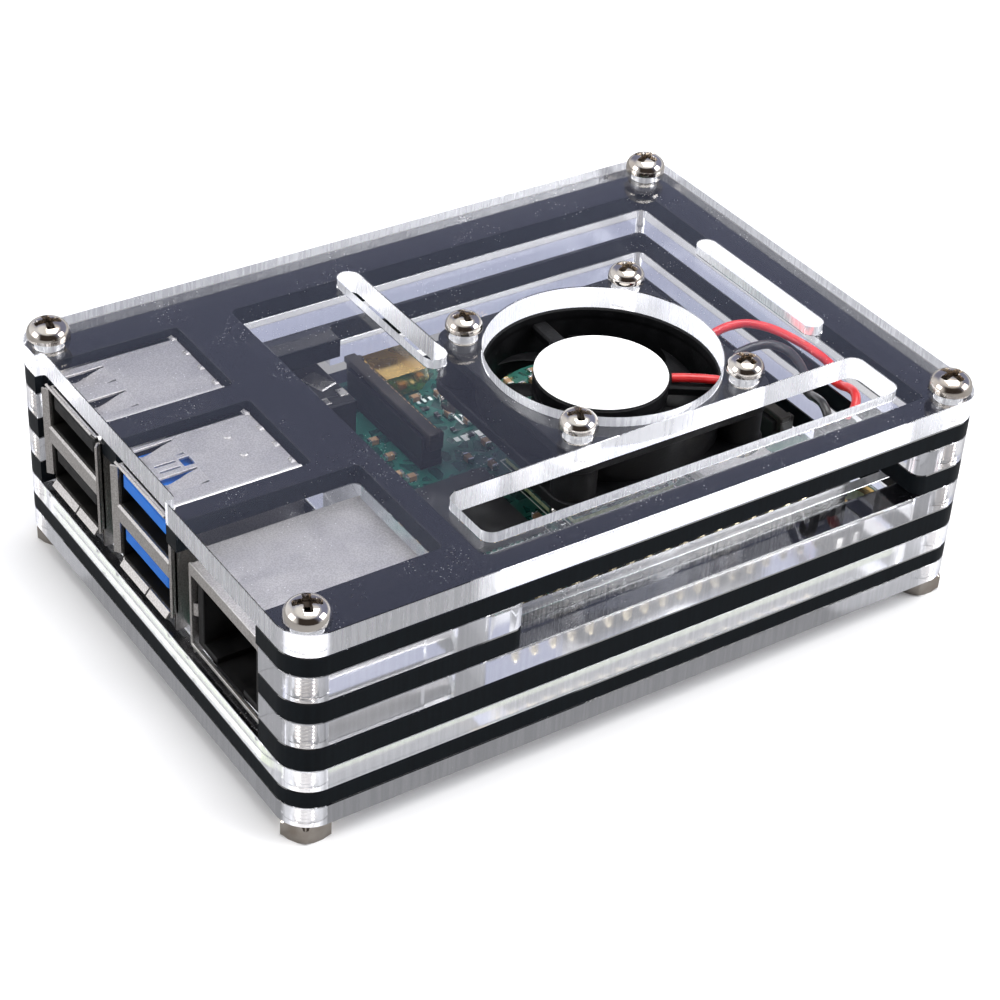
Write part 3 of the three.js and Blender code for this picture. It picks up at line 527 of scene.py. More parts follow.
lid_slots = [box_loop(-38.3, 19.9, 19.3, 27.7, 1.5), box_loop(4.2, 7.1, -26.6, -4, 1.4, 14),
             box_loop(-40, -37.3, -11.7, 12, 1.3, 14), circle(*FAN_CENTRE, 14.4, 140)]
case_plates = {
    "lid_plate": ([SOUTH_WEST, SOUTH_EAST, (EAST, -27.4, 0), (45.5, -27.4, 0.5), (45.5, 5.6, 0.5),
                   (EAST, 5.6, 0), NORTH_EAST, NORTH_WEST],
                  lid_slots + [circle(x, y, SCREW_HOLE) for x, y in FAN_SCREWS]),
    "layer_2_black": ([SOUTH_WEST, SOUTH_EAST, (EAST, BAY_SOUTH, 0), (FLANGE_LINE, BAY_SOUTH, 0.4),
                       (FLANGE_LINE, -27.1, 0), (BAY_BACK, -27.1, 0.6), (BAY_BACK, -12.9, 0.6),
                       (FLANGE_LINE, -12.9, 0), (FLANGE_LINE, -9.2, 0), (BAY_BACK, -9.2, 0.6),
                       (BAY_BACK, 5.2, 0.6), (FLANGE_LINE, 5.2, 0), (FLANGE_LINE, 5.6, 0), (EAST, 5.6, 0),
                       (EAST, 7.9, 0), (NETWORK_BACK, 7.9, 0.6), (NETWORK_BACK, 25.5, 0.6), (EAST, 25.5, 0),
                       NORTH_EAST, NORTH_WEST],
                      [box_loop(ROOM_WEST, ROOM_EAST, -27.3, 28.9, 1)]),
    "layer_3_clear": ([SOUTH_WEST, SOUTH_EAST, *SOCKET_BAY, NORTH_EAST,
                       *window_bay((ROOM_EAST, -27.2, 1), (ROOM_WEST, -27.2, 1)), NORTH_WEST], []),
    "layer_4_black": ([SOUTH_WEST, SOUTH_EAST, *SOCKET_BAY, NORTH_EAST,
                       *window_bay((ROOM_EAST, -23.6, 1), (7.7, -23.6, 0), (7.7, -26.9, 1),
                                   (ROOM_WEST, -26.9, 1)), NORTH_WEST], []),
    "layer_5_clear": ([SOUTH_WEST, *port_bay(7.2, -26.9, ROOM_NORTH), SOUTH_EAST, *SOCKET_BAY, NORTH_EAST,
                       NORTH_WEST], []),
    "layer_6_black": ([SOUTH_WEST, *port_bay(PORTS_WEST, -26.5, 28.4), SOUTH_EAST, *SOCKET_BAY, NORTH_EAST,
                       NORTH_WEST], []),
    "layer_7_clear": ([SOUTH_WEST, *port_bay(PORTS_WEST, -29.2, 27.3, -41.6, 43.9, 3.5), SOUTH_EAST,
                       NORTH_EAST, NORTH_WEST], []),
    "layer_8_black": ([SOUTH_WEST, SOUTH_EAST, NORTH_EAST, NORTH_WEST, (WEST, 6.4, 0), (-38.5, 6.4, 0),
                       (-38.5, 24, 2), (40.5, 24, 2), (40.5, -26, 2), (-38.5, -26, 2), (-38.5, -8.4, 0),
                       (WEST, -8.4, 0)], []),
    "base_plate": ([SOUTH_WEST, SOUTH_EAST, NORTH_EAST, NORTH_WEST, (WEST, 5.5, 0), (-41, 5.5, 3),
                    (-41, -7.5, 3), (WEST, -7.5, 0)], []),
}
for name, (corners, holes) in case_plates.items():
    low, high = span(name)
    loops = [outline(*corners, steps=14), *holes, *(circle(x, y, SCREW_HOLE) for x, y in CASE_SCREWS)]
    black = name.endswith("black")
    finish = black_acrylic if black else SHEET_FINISH.get(name, layer_acrylic)
    make_piece(f"{name}_sheet", "case", finish,
               plate(loops, low[2], high[2], 0.1 if black else 0.07), replaces=[name],
               slot="acrylic_black" if black else "acrylic_clear")

# ---- Case screws, fan screws and their nuts ----
# M3 pan-head screws with a cross recess and hex nuts, nickel plated. The nuts under the base are the feet.
# Heads are a dome less a cross, shafts carry a thread, and nuts are hexagons with turned corners. A dark
# cross sunk in each recess is painted shade.
nickel, tree, shader = new_material("nickel_plating")
brushed, given, result = effect_group("plating_wear", {"Scratch Scale": 900.0},
                                      {"Scratches": "NodeSocketFloat", "Patina": "NodeSocketFloat"})
place = add_node(brushed, "ShaderNodeTexCoord").outputs["Object"]
skewed = add_node(brushed, "ShaderNodeMapping", {"Vector": place, "Rotation": (0.3, 0.2, 0.7),
                                                 "Scale": (1.0, 0.06, 0.4)}).outputs[0]
scratch = add_node(brushed, "ShaderNodeTexNoise", {"Vector": skewed, "Scale": given.outputs["Scratch Scale"],
                                                   "Detail": 3.0})
patina = add_node(brushed, "ShaderNodeTexNoise", {"Vector": place, "Scale": 260.0, "Detail": 4.0})
brushed.links.new(scratch.outputs[0], result.inputs["Scratches"])
brushed.links.new(ramp(brushed, patina.outputs[0], 0.35, 0.7), result.inputs["Patina"])
wear = add_node(tree, "ShaderNodeGroup", node_tree=brushed)
set_sockets(tree, shader, metallic=1.0, base_color=blend(tree, wear.outputs["Patina"], (0.74, 0.70, 0.65, 1),
                                                         (0.50, 0.44, 0.38, 1)),
            roughness=ramp(tree, wear.outputs["Patina"], 0, 1, 0.06, 0.16),
            normal=bumped(tree, wear.outputs["Scratches"], 0.000006))


def around(x, y, radius, z, columns):
    """Rings of points about the axis at x, y. radius and z hold one value for each row or for each point."""
    turn = np.linspace(0, 2 * np.pi, columns, endpoint=False)
    rows = len(z)
    radius = np.broadcast_to(np.reshape(radius, (rows, -1)), (rows, columns))
    z = np.broadcast_to(np.reshape(z, (rows, -1)), (rows, columns))
    return np.stack([x + radius * np.cos(turn), y + radius * np.sin(turn), z], axis=-1)


def screw_head(x, y, seat, radius, rise, turned):
    """A dome, rise times (1 - (distance / radius) ** 2.8) ** 0.45, less a cross with sloping ends."""
    columns = 96
    distance = radius * np.sin(np.linspace(np.pi / 2, 0.02, 44))
    turn = np.linspace(0, 2 * np.pi, columns, endpoint=False) + turned
    a = np.abs(distance[:, None] * np.cos(turn))
    b = np.abs(distance[:, None] * np.sin(turn))
    width, reach = 0.17 * radius, 0.6 * radius
    arms = [np.clip((width - p) / 0.09, 0, 1) * np.clip((reach - q) / 0.22, 0, 1)
            for p, q in ((a, b), (b, a))]
    dome = seat + 0.25 + (rise - 0.25) * np.maximum(1 - (distance / radius) ** 2.8, 0)[:, None] ** 0.45
    top = dome - 0.72 * rise * np.maximum(*arms)
    under = np.array([[seat], [seat], [seat + 0.12]])
    z = np.vstack([np.broadcast_to(under, (3, columns)), top])
    return skin(around(x, y, np.concatenate([[1.0, radius - 0.15, radius], distance]), z, columns))


def threaded_shaft(x, y, tip, top):
    """A rod with a helical groove: its radius falls by a wave of the height less one turn of the angle."""
    columns = 26
    pitch = 0.5
    height = np.arange(tip + 0.35, top, pitch / 5)
    turn = np.linspace(0, 2 * np.pi, columns, endpoint=False)
    groove = 0.5 + 0.5 * np.cos(2 * np.pi * height[:, None] / pitch - turn)
    radius = 1.44 - 0.2 * groove
    ends = np.full((1, columns), 1.1)
    radius = np.vstack([ends, radius, ends])
    return skin(around(x, y, radius, np.concatenate([[tip], height, [top + 0.05]]), columns))


def ring_solid(rings):
    """A ring closed both round its columns and from its last row to its first."""
    rows, columns = rings.shape[:2]
    faces = np.array(grid_faces(rows + 1, columns)) % (rows * columns)
    return rings.reshape(-1, 3), faces.tolist()


def hex_nut(x, y, low, high, across):
    """A hexagon, half its width over the cosine of the angle from the nearest flat, coned at both ends."""
    columns = 96
    turn = np.linspace(0, 2 * np.pi, columns, endpoint=False)
    flat = (turn % (np.pi / 3)) - np.pi / 6
    hexagon = across / 2 / np.cos(flat)
    cone = np.minimum(hexagon, across / 2 * 1.02)
    bore = np.full(columns, 1.52)
    radius = np.stack([bore + 0.15, cone, hexagon, hexagon, cone, bore + 0.15, bore, bore])
    height = [low, low, low + 0.3, high - 0.3, high, high, high - 0.25, low + 0.25]
    return ring_solid(around(x, y, radius, height, columns))


def rotated(shape, degrees, centre=FAN_CENTRE):
    """A shape turned about the upright axis through the centre, its own zero lying on that axis."""
    turn = math.radians(degrees)
    spin = np.array([[math.cos(turn), math.sin(turn), 0], [-math.sin(turn), math.cos(turn), 0], [0, 0, 1]])
    return shape[0] @ spin + (*centre, 0), shape[1]


# Painted shade: a near-black finish for the cross sunk in each screw head, standing in for the shadow inside
# the recess.
recess_painted_shade = grained("recess_painted_shade", (0.012, 0.009, 0.007), (0.05, 0.035, 0.025), (0.45, 0.6),
                      pit_depth=0.00003, metallic=0.6)
seat = span("lid_plate")[1][2] + 0.05
for group, places, head, nut_width in (("case", CASE_SCREWS, 2.6, 5.5), ("fan", FAN_SCREWS, 2.3, 5.0)):
    for index, (x, y) in enumerate(places, 1):
        low, high = span(f"{group}_screw_{index}")
        rise = high[2] - seat
        turned = 0.7 + 1.3 * index
        make_piece(f"{group}_pan_head_screw_{index}", "case", nickel,
                   screw_head(x, y, seat, head, rise, turned), threaded_shaft(x, y, low[2], seat),
                   replaces=[f"{group}_screw_{index}"], slot="nickel", sharp=40)
        # A dark cross inside the recess: painted shade for the recess's shadow.
        bottom = seat + 0.2 * rise
        cross = [bar((-reach, -width, bottom), (reach, width, bottom + 0.3 * rise), 0.05)
                 for reach, width in ((0.5 * head, 0.14 * head), (0.14 * head, 0.5 * head))]
        make_piece(f"{group}_screw_recess_shade_{index}", "case", recess_painted_shade,
                   *(rotated(shape, -math.degrees(turned), (x, y)) for shape in cross), slot="nickel")
        low, high = span(f"{group}_nut_{index}")
        make_piece(f"{group}_hex_nut_{index}", "case", nickel, hex_nut(x, y, low[2], high[2], nut_width),
                   replaces=[f"{group}_nut_{index}"], slot="nickel")

# ---- Fan ----
# A 30 mm fan of black glass-filled plastic, screwed up against the lid, with a white label on its motor.
# The frame is two square flanges, a round duct and four posts. Three struts hold the motor, and the rotor
# hangs below them.
fan_plastic = grained("fan_plastic", (0.0025, 0.0025, 0.003), (0.006, 0.006, 0.007), (0.42, 0.6), 3500.0,
                      0.00003, specular_ior_level=0.2)
FLANGE = 1.6
AXLE_RADIUS = 0.95
fan_square = box_loop(fan_low[0], fan_high[0], fan_low[1], fan_high[1], 3)
fan_holes = [circle(x, y, SCREW_HOLE, 32) for x, y in FAN_SCREWS]
duct = circle(*FAN_CENTRE, 14.2, 120)
strut_top = fan_high[2] - 1.2
strut_low = strut_top - 1.3
inside = (fan_low[2] + 1, fan_high[2] - 1)
frame_shapes = [plate([fan_square, duct, *fan_holes], fan_low[2], fan_low[2] + FLANGE, 0.15),
                plate([fan_square, duct, *fan_holes], fan_high[2] - FLANGE, fan_high[2], 0.15),
                plate([circle(*FAN_CENTRE, 14.92, 120), duct], *inside, 0.05)]
frame_shapes += [plate([circle(x, y, 2.7, 32), circle(x, y, SCREW_HOLE, 32)], *inside, 0.05)
                 for x, y in FAN_SCREWS]
frame_shapes += [rotated(plate([box_loop(6, 14.6, -1.1, 1.1, 0.3)], strut_low, strut_top, 0.25), turn)
                 for turn in STRUT_TURNS]
frame_shapes.append(plate([circle(*FAN_CENTRE, 8.2, 96)], strut_low, fan_high[2] - 0.25, 0.3))
frame_shapes.append(plate([circle(*FAN_CENTRE, 2.0, 32), circle(*FAN_CENTRE, AXLE_RADIUS, 24)],
                          fan_low[2] + 1.6, strut_top - 1.2, 0.05))
make_piece("fan_housing", "case", fan_plastic, *frame_shapes, replaces=["fan_frame"], slot="fan_black")

# The label glows a little from a white emission: painted light that brightens it.
label_paper_painted_glow = grained("label_paper_painted_glow", (0.93, 0.93, 0.92), (0.98, 0.98, 0.97), (0.5, 0.65), 4000.0, 0.00001,
                      emission_strength=0.12, emission_color=(1, 1, 1, 1))
label_low, label_high = span("fan_label")
make_piece("motor_label", "case", label_paper_painted_glow,
           plate([circle(*FAN_CENTRE, 8.12, 120)], label_low[2], label_high[2], 0.03),
           replaces=["fan_label"], slot="label_white")

rotor_low, rotor_high = span("fan_rotor")
BLADES = 7


def fan_blade(index):
    """An aerofoil ring carried out from the hub and wrapped round the axis: the chord grows, the pitch falls
    from 26 to 16 degrees and the blade sweeps forward with the square of the way out."""
    way = np.linspace(0, 1, 14)[:, None]
    profile = np.linspace(0, 2 * np.pi, 28, endpoint=False)[None]
    distance = 7.8 + 5.6 * way
    half_chord = 4.1 + 2.2 * way
    pitch = np.radians(26 - 10 * way)
    chord = half_chord * np.cos(profile)
    thick = 0.32 * np.sin(profile) * (1.15 - 0.35 * np.cos(profile)) + 0.3 * (1 - np.cos(profile) ** 2)
    slide = chord * np.cos(pitch) - thick * np.sin(pitch)
    lift = chord * np.sin(pitch) + thick * np.cos(pitch)
    bearing = 2 * np.pi * index / BLADES + 0.35 * way ** 2 + slide / distance
    centre = np.array([*FAN_CENTRE, (rotor_low[2] + rotor_high[2]) / 2 - 0.12])
    distance = np.broadcast_to(distance, bearing.shape)
    return skin(centre + np.stack([distance * np.cos(bearing), distance * np.sin(bearing), lift], axis=-1))


hub_wall = plate([circle(*FAN_CENTRE, 8.15, 96), circle(*FAN_CENTRE, 7.2, 96)],
                 rotor_low[2], rotor_high[2], 0.2)
hub_floor = plate([circle(*FAN_CENTRE, 7.6, 96), circle(*FAN_CENTRE, AXLE_RADIUS, 24)],
                  rotor_low[2], rotor_low[2] + 0.9, 0.1)
make_piece("fan_impeller", "rotor", fan_plastic, hub_wall, hub_floor, *(fan_blade(i) for i in range(BLADES)),
           replaces=["fan_rotor"], slot="fan_black")

winding_copper, tree, shader = new_material("winding_copper")
place = add_node(tree, "ShaderNodeTexCoord").outputs["Object"]
turns = add_node(tree, "ShaderNodeTexWave", {"Vector": place, "Scale": 900.0, "Distortion": 1.5},
                 bands_direction="Z")
set_sockets(tree, shader, metallic=1.0, base_color=blend(tree, turns.outputs[1], (0.30, 0.10, 0.035, 1),
                                                         (0.62, 0.27, 0.11, 1)),
            roughness=ramp(tree, turns.outputs[1], 0, 1, 0.35, 0.2),
            normal=bumped(tree, turns.outputs[1], 0.0001))


def dress(node, material):
    """Gives a CAD node its finish in place of the plain one."""
    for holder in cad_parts[node].material_slots:
        holder.material = material


dress("fan_winding", winding_copper)
dress("fan_axle", nickel)

# ---- Circuit board ----
# A 1.4 mm glass-fibre board with green solder mask over copper tracks and gold rings round its four holes.
# Small parts are soldered wherever the large ones leave room, and pins show as solder cones underneath.
board_low, board_high = span("circuit_board")
BOARD_HOLES = [(board_low[0] + x, board_low[1] + y) for x in (3.5, 61.5) for y in (3.5, 52.5)]
solder_mask, tree, shader = new_material("solder_mask")
place = add_node(tree, "ShaderNodeTexCoord").outputs["Object"]
edge_of_board = add_node(tree, "ShaderNodeGroup", node_tree=cut_edge)
routes = add_node(tree, "ShaderNodeTexVoronoi", {"Vector": place, "Scale": 420.0, "Randomness": 0.8},
                  feature="DISTANCE_TO_EDGE")
pours = add_node(tree, "ShaderNodeTexVoronoi", {"Vector": place, "Scale": 130.0}, distance="CHEBYCHEV")
track = compute(tree, "LESS_THAN", routes.outputs["Distance"], 0.13)
pour = compute(tree, "LESS_THAN", pours.outputs["Distance"], 0.28)
copper_under = compute(tree, "MAXIMUM", track, pour)
mask_tone = blend(tree, copper_under, (0.002, 0.040, 0.030, 1), (0.006, 0.085, 0.062, 1))
layers_tone = blend(tree, edge_of_board.outputs["Lines"], (0.36, 0.42, 0.22, 1), (0.52, 0.58, 0.34, 1))
set_sockets(tree, shader, base_color=blend(tree, edge_of_board.outputs["Wall"], mask_tone, layers_tone),
            roughness=ramp(tree, copper_under, 0, 1, 0.22, 0.3), coat_weight=0.3, coat_roughness=0.1,
            normal=bumped(tree, copper_under, 0.00003))
board_shape = plate([box_loop(board_low[0], board_high[0], board_low[1], board_high[1], 3),
                     *(circle(x, y, 1.35, 32) for x, y in BOARD_HOLES)], board_low[2], board_high[2], 0.04)
make_piece("bare_board", "case", solder_mask, board_shape, replaces=["circuit_board"], slot="board_green")


def plated(name, bright, worn):
    """Gold plating that is bright where it was rubbed and duller where it aged."""
    material, tree, shader = new_material(name)
    wear = add_node(tree, "ShaderNodeGroup", node_tree=brushed)
    set_sockets(tree, shader, metallic=1.0,
                base_color=blend(tree, wear.outputs["Patina"], (*bright, 1), (*worn, 1)),
                roughness=ramp(tree, wear.outputs["Patina"], 0, 1, 0.16, 0.3),
                normal=bumped(tree, wear.outputs["Scratches"], 0.000006))
    return material


gold_plate = plated("gold_plate", (0.90, 0.62, 0.22), (0.72, 0.46, 0.15))
pin_gold = plated("pin_gold", (0.90, 0.80, 0.58), (0.76, 0.64, 0.42))
rings = [plate([circle(x, y, 2.9, 40), circle(x, y, 1.36, 32)], z, z + 0.03, 0.01)
         for x, y in BOARD_HOLES for z in (board_high[2] + 0.005, board_low[2] - 0.035)]
make_piece("hole_rings", "case", gold_plate, *rings, slot="gold_pins")

LARGE_PARTS = ["processor", "memory_chip", "usb_controller", "network_chip", "power_chip", "wireless_shield",
               "pin_header", "four_pin_header", "usb2_shell", "usb3_shell", "network_shell", "usb_c_socket",
               "micro_hdmi_socket_1", "micro_hdmi_socket_2", "audio_jack", "camera_connector", "camera_latch",
               "display_connector", "display_latch"]
taken = [np.concatenate([low[:2] - 0.7, high[:2] + 0.7]) for low, high in map(span, LARGE_PARTS)]
taken += [np.array([x - 3.4, y - 3.4, x + 3.4, y + 3.4]) for x, y in BOARD_HOLES]
chance = np.random.default_rng(11)
small_parts = {"capacitor": [], "resistor": [], "end": [], "coil": []}
ON_BOARD = board_high[2] + 0.02
BOARD_GRID = 0.635
for _ in range(900):
    spot = chance.uniform(board_low[:2] + 1.5, board_high[:2] - 1.5)
    spot = np.round(spot / BOARD_GRID) * BOARD_GRID
    kind = chance.choice(["capacitor", "resistor", "resistor", "capacitor", "coil"],
                         p=[0.3, 0.25, 0.2, 0.22, 0.03])
    half = {"capacitor": (0.8, 0.42), "resistor": (0.55, 0.3), "coil": (1.5, 1.4)}[kind]
    rise = {"capacitor": 0.75, "resistor": 0.35, "coil": 1.5}[kind]
    half = np.array(half if chance.random() < 0.6 else half[::-1])
    around_it = np.concatenate([spot - half, spot + half])
    clash = any(around_it[0] < b[2] and b[0] < around_it[2] and around_it[1] < b[3] and b[1] < around_it[3]
                for b in taken)
    if clash:
        continue
    taken.append(around_it + (-0.35, -0.35, 0.35, 0.35))
    lengthwise = 0 if half[0] > half[1] else 1
    inner = half.copy()
    inner[lengthwise] *= 0.62
    small_parts[kind].append(bar((*(spot - inner), ON_BOARD), (*(spot + inner), ON_BOARD + rise), 0.05))
    for side in (-1, 1):
        end = spot.copy()
        end[lengthwise] += side * half[lengthwise] * 0.8
        reach = half * 0.98
        reach[lengthwise] = half[lengthwise] * 0.22
        small_parts["end"].append(bar((*(end - reach), ON_BOARD), (*(end + reach), ON_BOARD + rise * 1.02),
                                      0.06))

ceramic = grained("tan_ceramic", (0.20, 0.12, 0.06), (0.32, 0.21, 0.12), (0.35, 0.5), 9000.0, 0.00001)
chip_black = grained("chip_epoxy", (0.012, 0.012, 0.013), (0.028, 0.028, 0.030), (0.4, 0.55), 9000.0, 0.00001)
solder = grained("bright_solder", (0.72, 0.72, 0.73), (0.86, 0.86, 0.85), (0.15, 0.32), metallic=1.0)
make_piece("capacitors", "case", ceramic, *small_parts["capacitor"], slot="latch_tan")
make_piece("resistors", "case", chip_black, *small_parts["resistor"], slot="chip_black")
make_piece("coils", "case", chip_black, *small_parts["coil"], slot="chip_black")
make_piece("soldered_ends", "case", solder, *small_parts["end"], slot="nickel")


def solder_cone(x, y):
    """A joint under the board: its radius falls as the square root of the way down to the pin's cut end."""
    way = np.linspace(0, 1, 6)
    return skin(around(x, y, 0.2 + 0.65 * (1 - way) ** 2, board_low[2] - 0.02 - 1.1 * way, 10)[::-1])


PITCH = 2.54


def header_pins(node, columns):
    """The places of a header's pins, in two rows, the first half a pitch in from the header's corner."""
    corner = span(node)[0]
    return [(corner[0] + PITCH * (i + 0.5), corner[1] + PITCH * (j + 0.5))
            for i in range(columns) for j in range(2)]


pin_places = header_pins("pin_header", 20)
four_places = header_pins("four_pin_header", 2)
port_pins = [(31.2 + 2.6 * column, y + 2.0 * row)
             for y in (-20, -2) for column in range(3) for row in (-1.5, -0.5, 0.5, 1.5)]
port_pins += [(27.5 + 2.4 * (k % 2), 11.5 + 1.3 * k) for k in range(9)]
make_piece("solder_joints", "case", solder,
           *(solder_cone(x, y) for x, y in pin_places + four_places + port_pins), slot="nickel")

# White ink on the board: outlines of the parts, ticks by the header, bars and plain blocks.
ink_white = grained("white_ink", (0.70, 0.72, 0.70), (0.82, 0.84, 0.82), (0.5, 0.6))
INK = (board_high[2] + 0.004, board_high[2] + 0.03)


def inked(*loops):
    """A thin print of ink, from an outer loop and its hole if it has one."""
    return plate(loops, *INK, 0.005)


LINE = 0.14
ink = []
for low, high in map(span, LARGE_PARTS[:6]):
    x0, y0 = low[:2] - 0.45
    x1, y1 = high[:2] + 0.45
    ink.append(inked(box_loop(x0, x1, y0, y1), box_loop(x0 + LINE, x1 - LINE, y0 + LINE, y1 - LINE)))
ink += [inked(circle(x, y, 3.3, 40), circle(x, y, 3.3 - LINE, 40)) for x, y in BOARD_HOLES]
header_south = span("pin_header")[0][1]
ink += [inked(box_loop(x - 0.07, x + 0.07, header_south - 1.3, header_south - 0.6))
        for x, _ in pin_places[::8]]
ink += [inked(box_loop(x, x + 0.3, -15.6, -13.4)) for x in (-6.2, -5.4, -4.6)]
ink += [inked(box_loop(-8.6 + 1.05 * i, -7.9 + 1.05 * i, -11.4, -10.5 + 0.35 * (i % 2))) for i in range(7)]
ink += [inked(box_loop(-8.6 + 0.9 * i, -8.2 + 0.9 * i, -20.8, -20.0)) for i in range(8)]
make_piece("ink_marks", "case", ink_white, *ink, slot="label_white")

# ---- Chips on the board ----
# The processor has a nickel-plated heat spreader. The others are black epoxy with tinned leads and a dot that
# marks pin one. The wireless module sits under a pressed steel can.
socket_steel, tree, shader = new_material("satin_tin_plate")
speckle = add_node(tree, "ShaderNodeGroup", node_tree=grain)
speckle.inputs["Pit Scale"].default_value = 5200.0
wear = add_node(tree, "ShaderNodeGroup", node_tree=brushed)
wear.inputs["Scratch Scale"].default_value = 1600.0
flecks = ramp(tree, speckle.outputs["Pits"], 0.35, 0.65)
set_sockets(tree, shader, metallic=1.0,
            base_color=blend(tree, flecks, (0.50, 0.48, 0.465, 1), (0.66, 0.64, 0.625, 1)),
            roughness=ramp(tree, wear.outputs["Patina"], 0, 1, 0.40, 0.44),
            normal=bumped(tree, wear.outputs["Scratches"], 0.000002))


def chip_shapes(node, leads):
    """A chamfered body, rows of small leads along all four sides, and a thin round dot."""
    low, high = span(node)
    foot, knee = low[2] - 0.02, low[2] + 0.12
    body = plate([box_loop(low[0], high[0], low[1], high[1], 0.25)], low[2] + 0.06, high[2], 0.1)
    rows = []
    for k in range(leads):
        share = (k + 0.5) / leads
        x, y = low[:2] + (high[:2] - low[:2]) * share
        rows += [bar((x - 0.11, low[1] - 0.28, foot), (x + 0.11, low[1] + 0.1, knee), 0.02),
                 bar((x - 0.11, high[1] - 0.1, foot), (x + 0.11, high[1] + 0.28, knee), 0.02),
                 bar((low[0] - 0.28, y - 0.11, foot), (low[0] + 0.1, y + 0.11, knee), 0.02),
                 bar((high[0] - 0.1, y - 0.11, foot), (high[0] + 0.28, y + 0.11, knee), 0.02)]
    mark = plate([circle(low[0] + 1.1, high[1] - 1.1, 0.35, 24)], high[2] - 0.02, high[2] + 0.012, 0.005)
    return body, rows, mark


for node, leads in (("memory_chip", 12), ("usb_controller", 12), ("network_chip", 14), ("power_chip", 10)):
    body, rows, mark = chip_shapes(node, leads)
    make_piece(f"{node}_body", "case", chip_black, body, replaces=[node], slot="chip_black")
    make_piece(f"{node}_leads", "case", solder, *rows, slot="nickel")
    make_piece(f"{node}_dot", "case", ink_white, mark, slot="label_white")

low, high = span("processor")
make_piece("processor_substrate", "case", solder_mask,
           plate([box_loop(low[0], high[0], low[1], high[1], 0.3)], low[2], low[2] + 0.7, 0.05),
           slot="board_green")
spreader = [plate([box_loop(low[0] + 0.5, high[0] - 0.5, low[1] + 0.5, high[1] - 0.5, 0.8)],
                  low[2] + 0.6, low[2] + 1.2, 0.12),
            plate([box_loop(low[0] + 1.4, high[0] - 1.4, low[1] + 1.4, high[1] - 1.4, 0.7)],
                  low[2] + 1.1, high[2], 0.35)]
make_piece("heat_spreader", "case", socket_steel, *spreader, replaces=["processor"], slot="socket_steel")
low, high = span("wireless_shield")
seam = [bar((x - 0.12, side, low[2] + 0.2), (x + 0.12, side + 0.06, high[2] - 0.5), 0.01)
        for x in np.linspace(low[0] + 1.2, high[0] - 1.2, 7) for side in (low[1] - 0.02, high[1] - 0.04)]
make_piece("wireless_can", "case", socket_steel,
           plate([box_loop(low[0], high[0], low[1], high[1], 0.5)], low[2], high[2], 0.3), *seam,
           replaces=["wireless_shield"], slot="socket_steel")

# ---- Pin headers ----
# Gold-plated square pins pressed into a black bar that is notched between them. Each pin ends in a blunt tip.
def square_pin(x, y, low, high):
    """A square ring carried up, drawn in over the last half millimetre."""
    corners = np.array([[-1, -1], [1, -1], [1, 1], [-1, 1]]) * 0.31
    levels = [(1, low), (1, high - 0.5), (0.45, high)]
    return skin(np.stack([np.column_stack([corners * size + (x, y), np.full(4, z)]) for size, z in levels]))


def header_bar(places, low, high):
    """One notched block for each pin, all on one strip."""
    blocks = []
    for x, y in places:
        half, cut_corner = PITCH / 2 - 0.03, 0.45
        loop = outline((x - half + cut_corner, y - half, 0), (x + half - cut_corner, y - half, 0),
                       (x + half, y - half + cut_corner, 0), (x + half, y + half - cut_corner, 0),
                       (x + half - cut_corner, y + half, 0), (x - half + cut_corner, y + half, 0),
                       (x - half, y + half - cut_corner, 0), (x - half, y - half + cut_corner, 0))
        blocks.append(plate([loop], low, high, 0.08))
    blocks.append(bar((min(p[0] for p in places) - 0.9, min(p[1] for p in places) - 0.9, low + 0.05),
                      (max(p[0] for p in places) + 0.9, max(p[1] for p in places) + 0.9, high - 0.1)))
    return blocks


for name, places, node in (("header", pin_places, "pin_header"),
                           ("small_header", four_places, "four_pin_header")):
    low, high = span(node)
    make_piece(f"{name}_bar", "case", black_plastic, *header_bar(places, low[2], board_high[2] + PITCH),
               replaces=[node], slot="black_plastic")
    make_piece(f"{name}_pins", "case", pin_gold,
               *(square_pin(x, y, low[2] + 0.5, high[2]) for x, y in places), slot="gold_pins")

# ---- USB sockets ----
# Each is a folded shell of tin-plated steel round a moulded insert with two tongues: black for one, blue for
# the other. Spring fingers are cut from the roof and dip inwards. The front is a flared frame with a divider.
blue_plastic = grained("blue_plastic", (0.0005, 0.105, 0.45), (0.001, 0.145, 0.58), (0.3, 0.45),
                       pit_depth=0.00001, specular_ior_level=0.3)
# Painted shade: a near-black finish for liners laid inside the USB ports, where the real steel is in shadow.
port_painted_shade = grained("port_painted_shade", (0.004, 0.004, 0.004), (0.010, 0.009, 0.008), (0.5, 0.65),
                      specular_ior_level=0.15)
SHEET = 0.35
BEND = 0.75
PORTS_Z = [(11.75, 16.95), (19.15, 24.35)]


def folded_side(middle, half, side, low, high, x0, x1):
    """One upright wall of a shell with the quarter round that turns it into the roof, carried along x."""
    outer = middle + side * half
    inner = middle + side * (half - SHEET)
    crown = middle + side * (half - BEND)
    loop = outline((outer, low, 0), (outer, high, BEND), (crown, high, 0), (crown, high - SHEET, 0),
                   (inner, high - SHEET, 0.09), (inner, low, 0))
    return plate([loop], x0, x1, 0.03, along="x")


def spring_finger(middle, root, tip, roof, dip, width):
    """A tapering strip cut from the roof, with a half-round end: it dips as the square of a sine and curls up
    again over the last part of its way."""
    way = np.linspace(0, 1, 34)
    x = root + (tip - root) * way
    dipped = dip * np.sin(np.pi * np.minimum(way, 0.82) / 1.64) ** 2
    z = roof - SHEET / 2 - dipped + 2.0 * np.maximum(way - 0.82, 0)
    half = (width - (width - 0.95) * way ** 2) * np.sqrt(1 - (np.maximum(way - 0.86, 0) / 0.145) ** 2)
    ring = np.array([[-1, -0.5], [1, -0.5], [1, 0.5], [-1, 0.5]])
    points = np.stack([np.broadcast_to(x[:, None], (34, 4)), middle + half[:, None] * ring[:, 0],
                       z[:, None] + SHEET * 0.8 * ring[:, 1]], axis=-1)
    return skin(points)


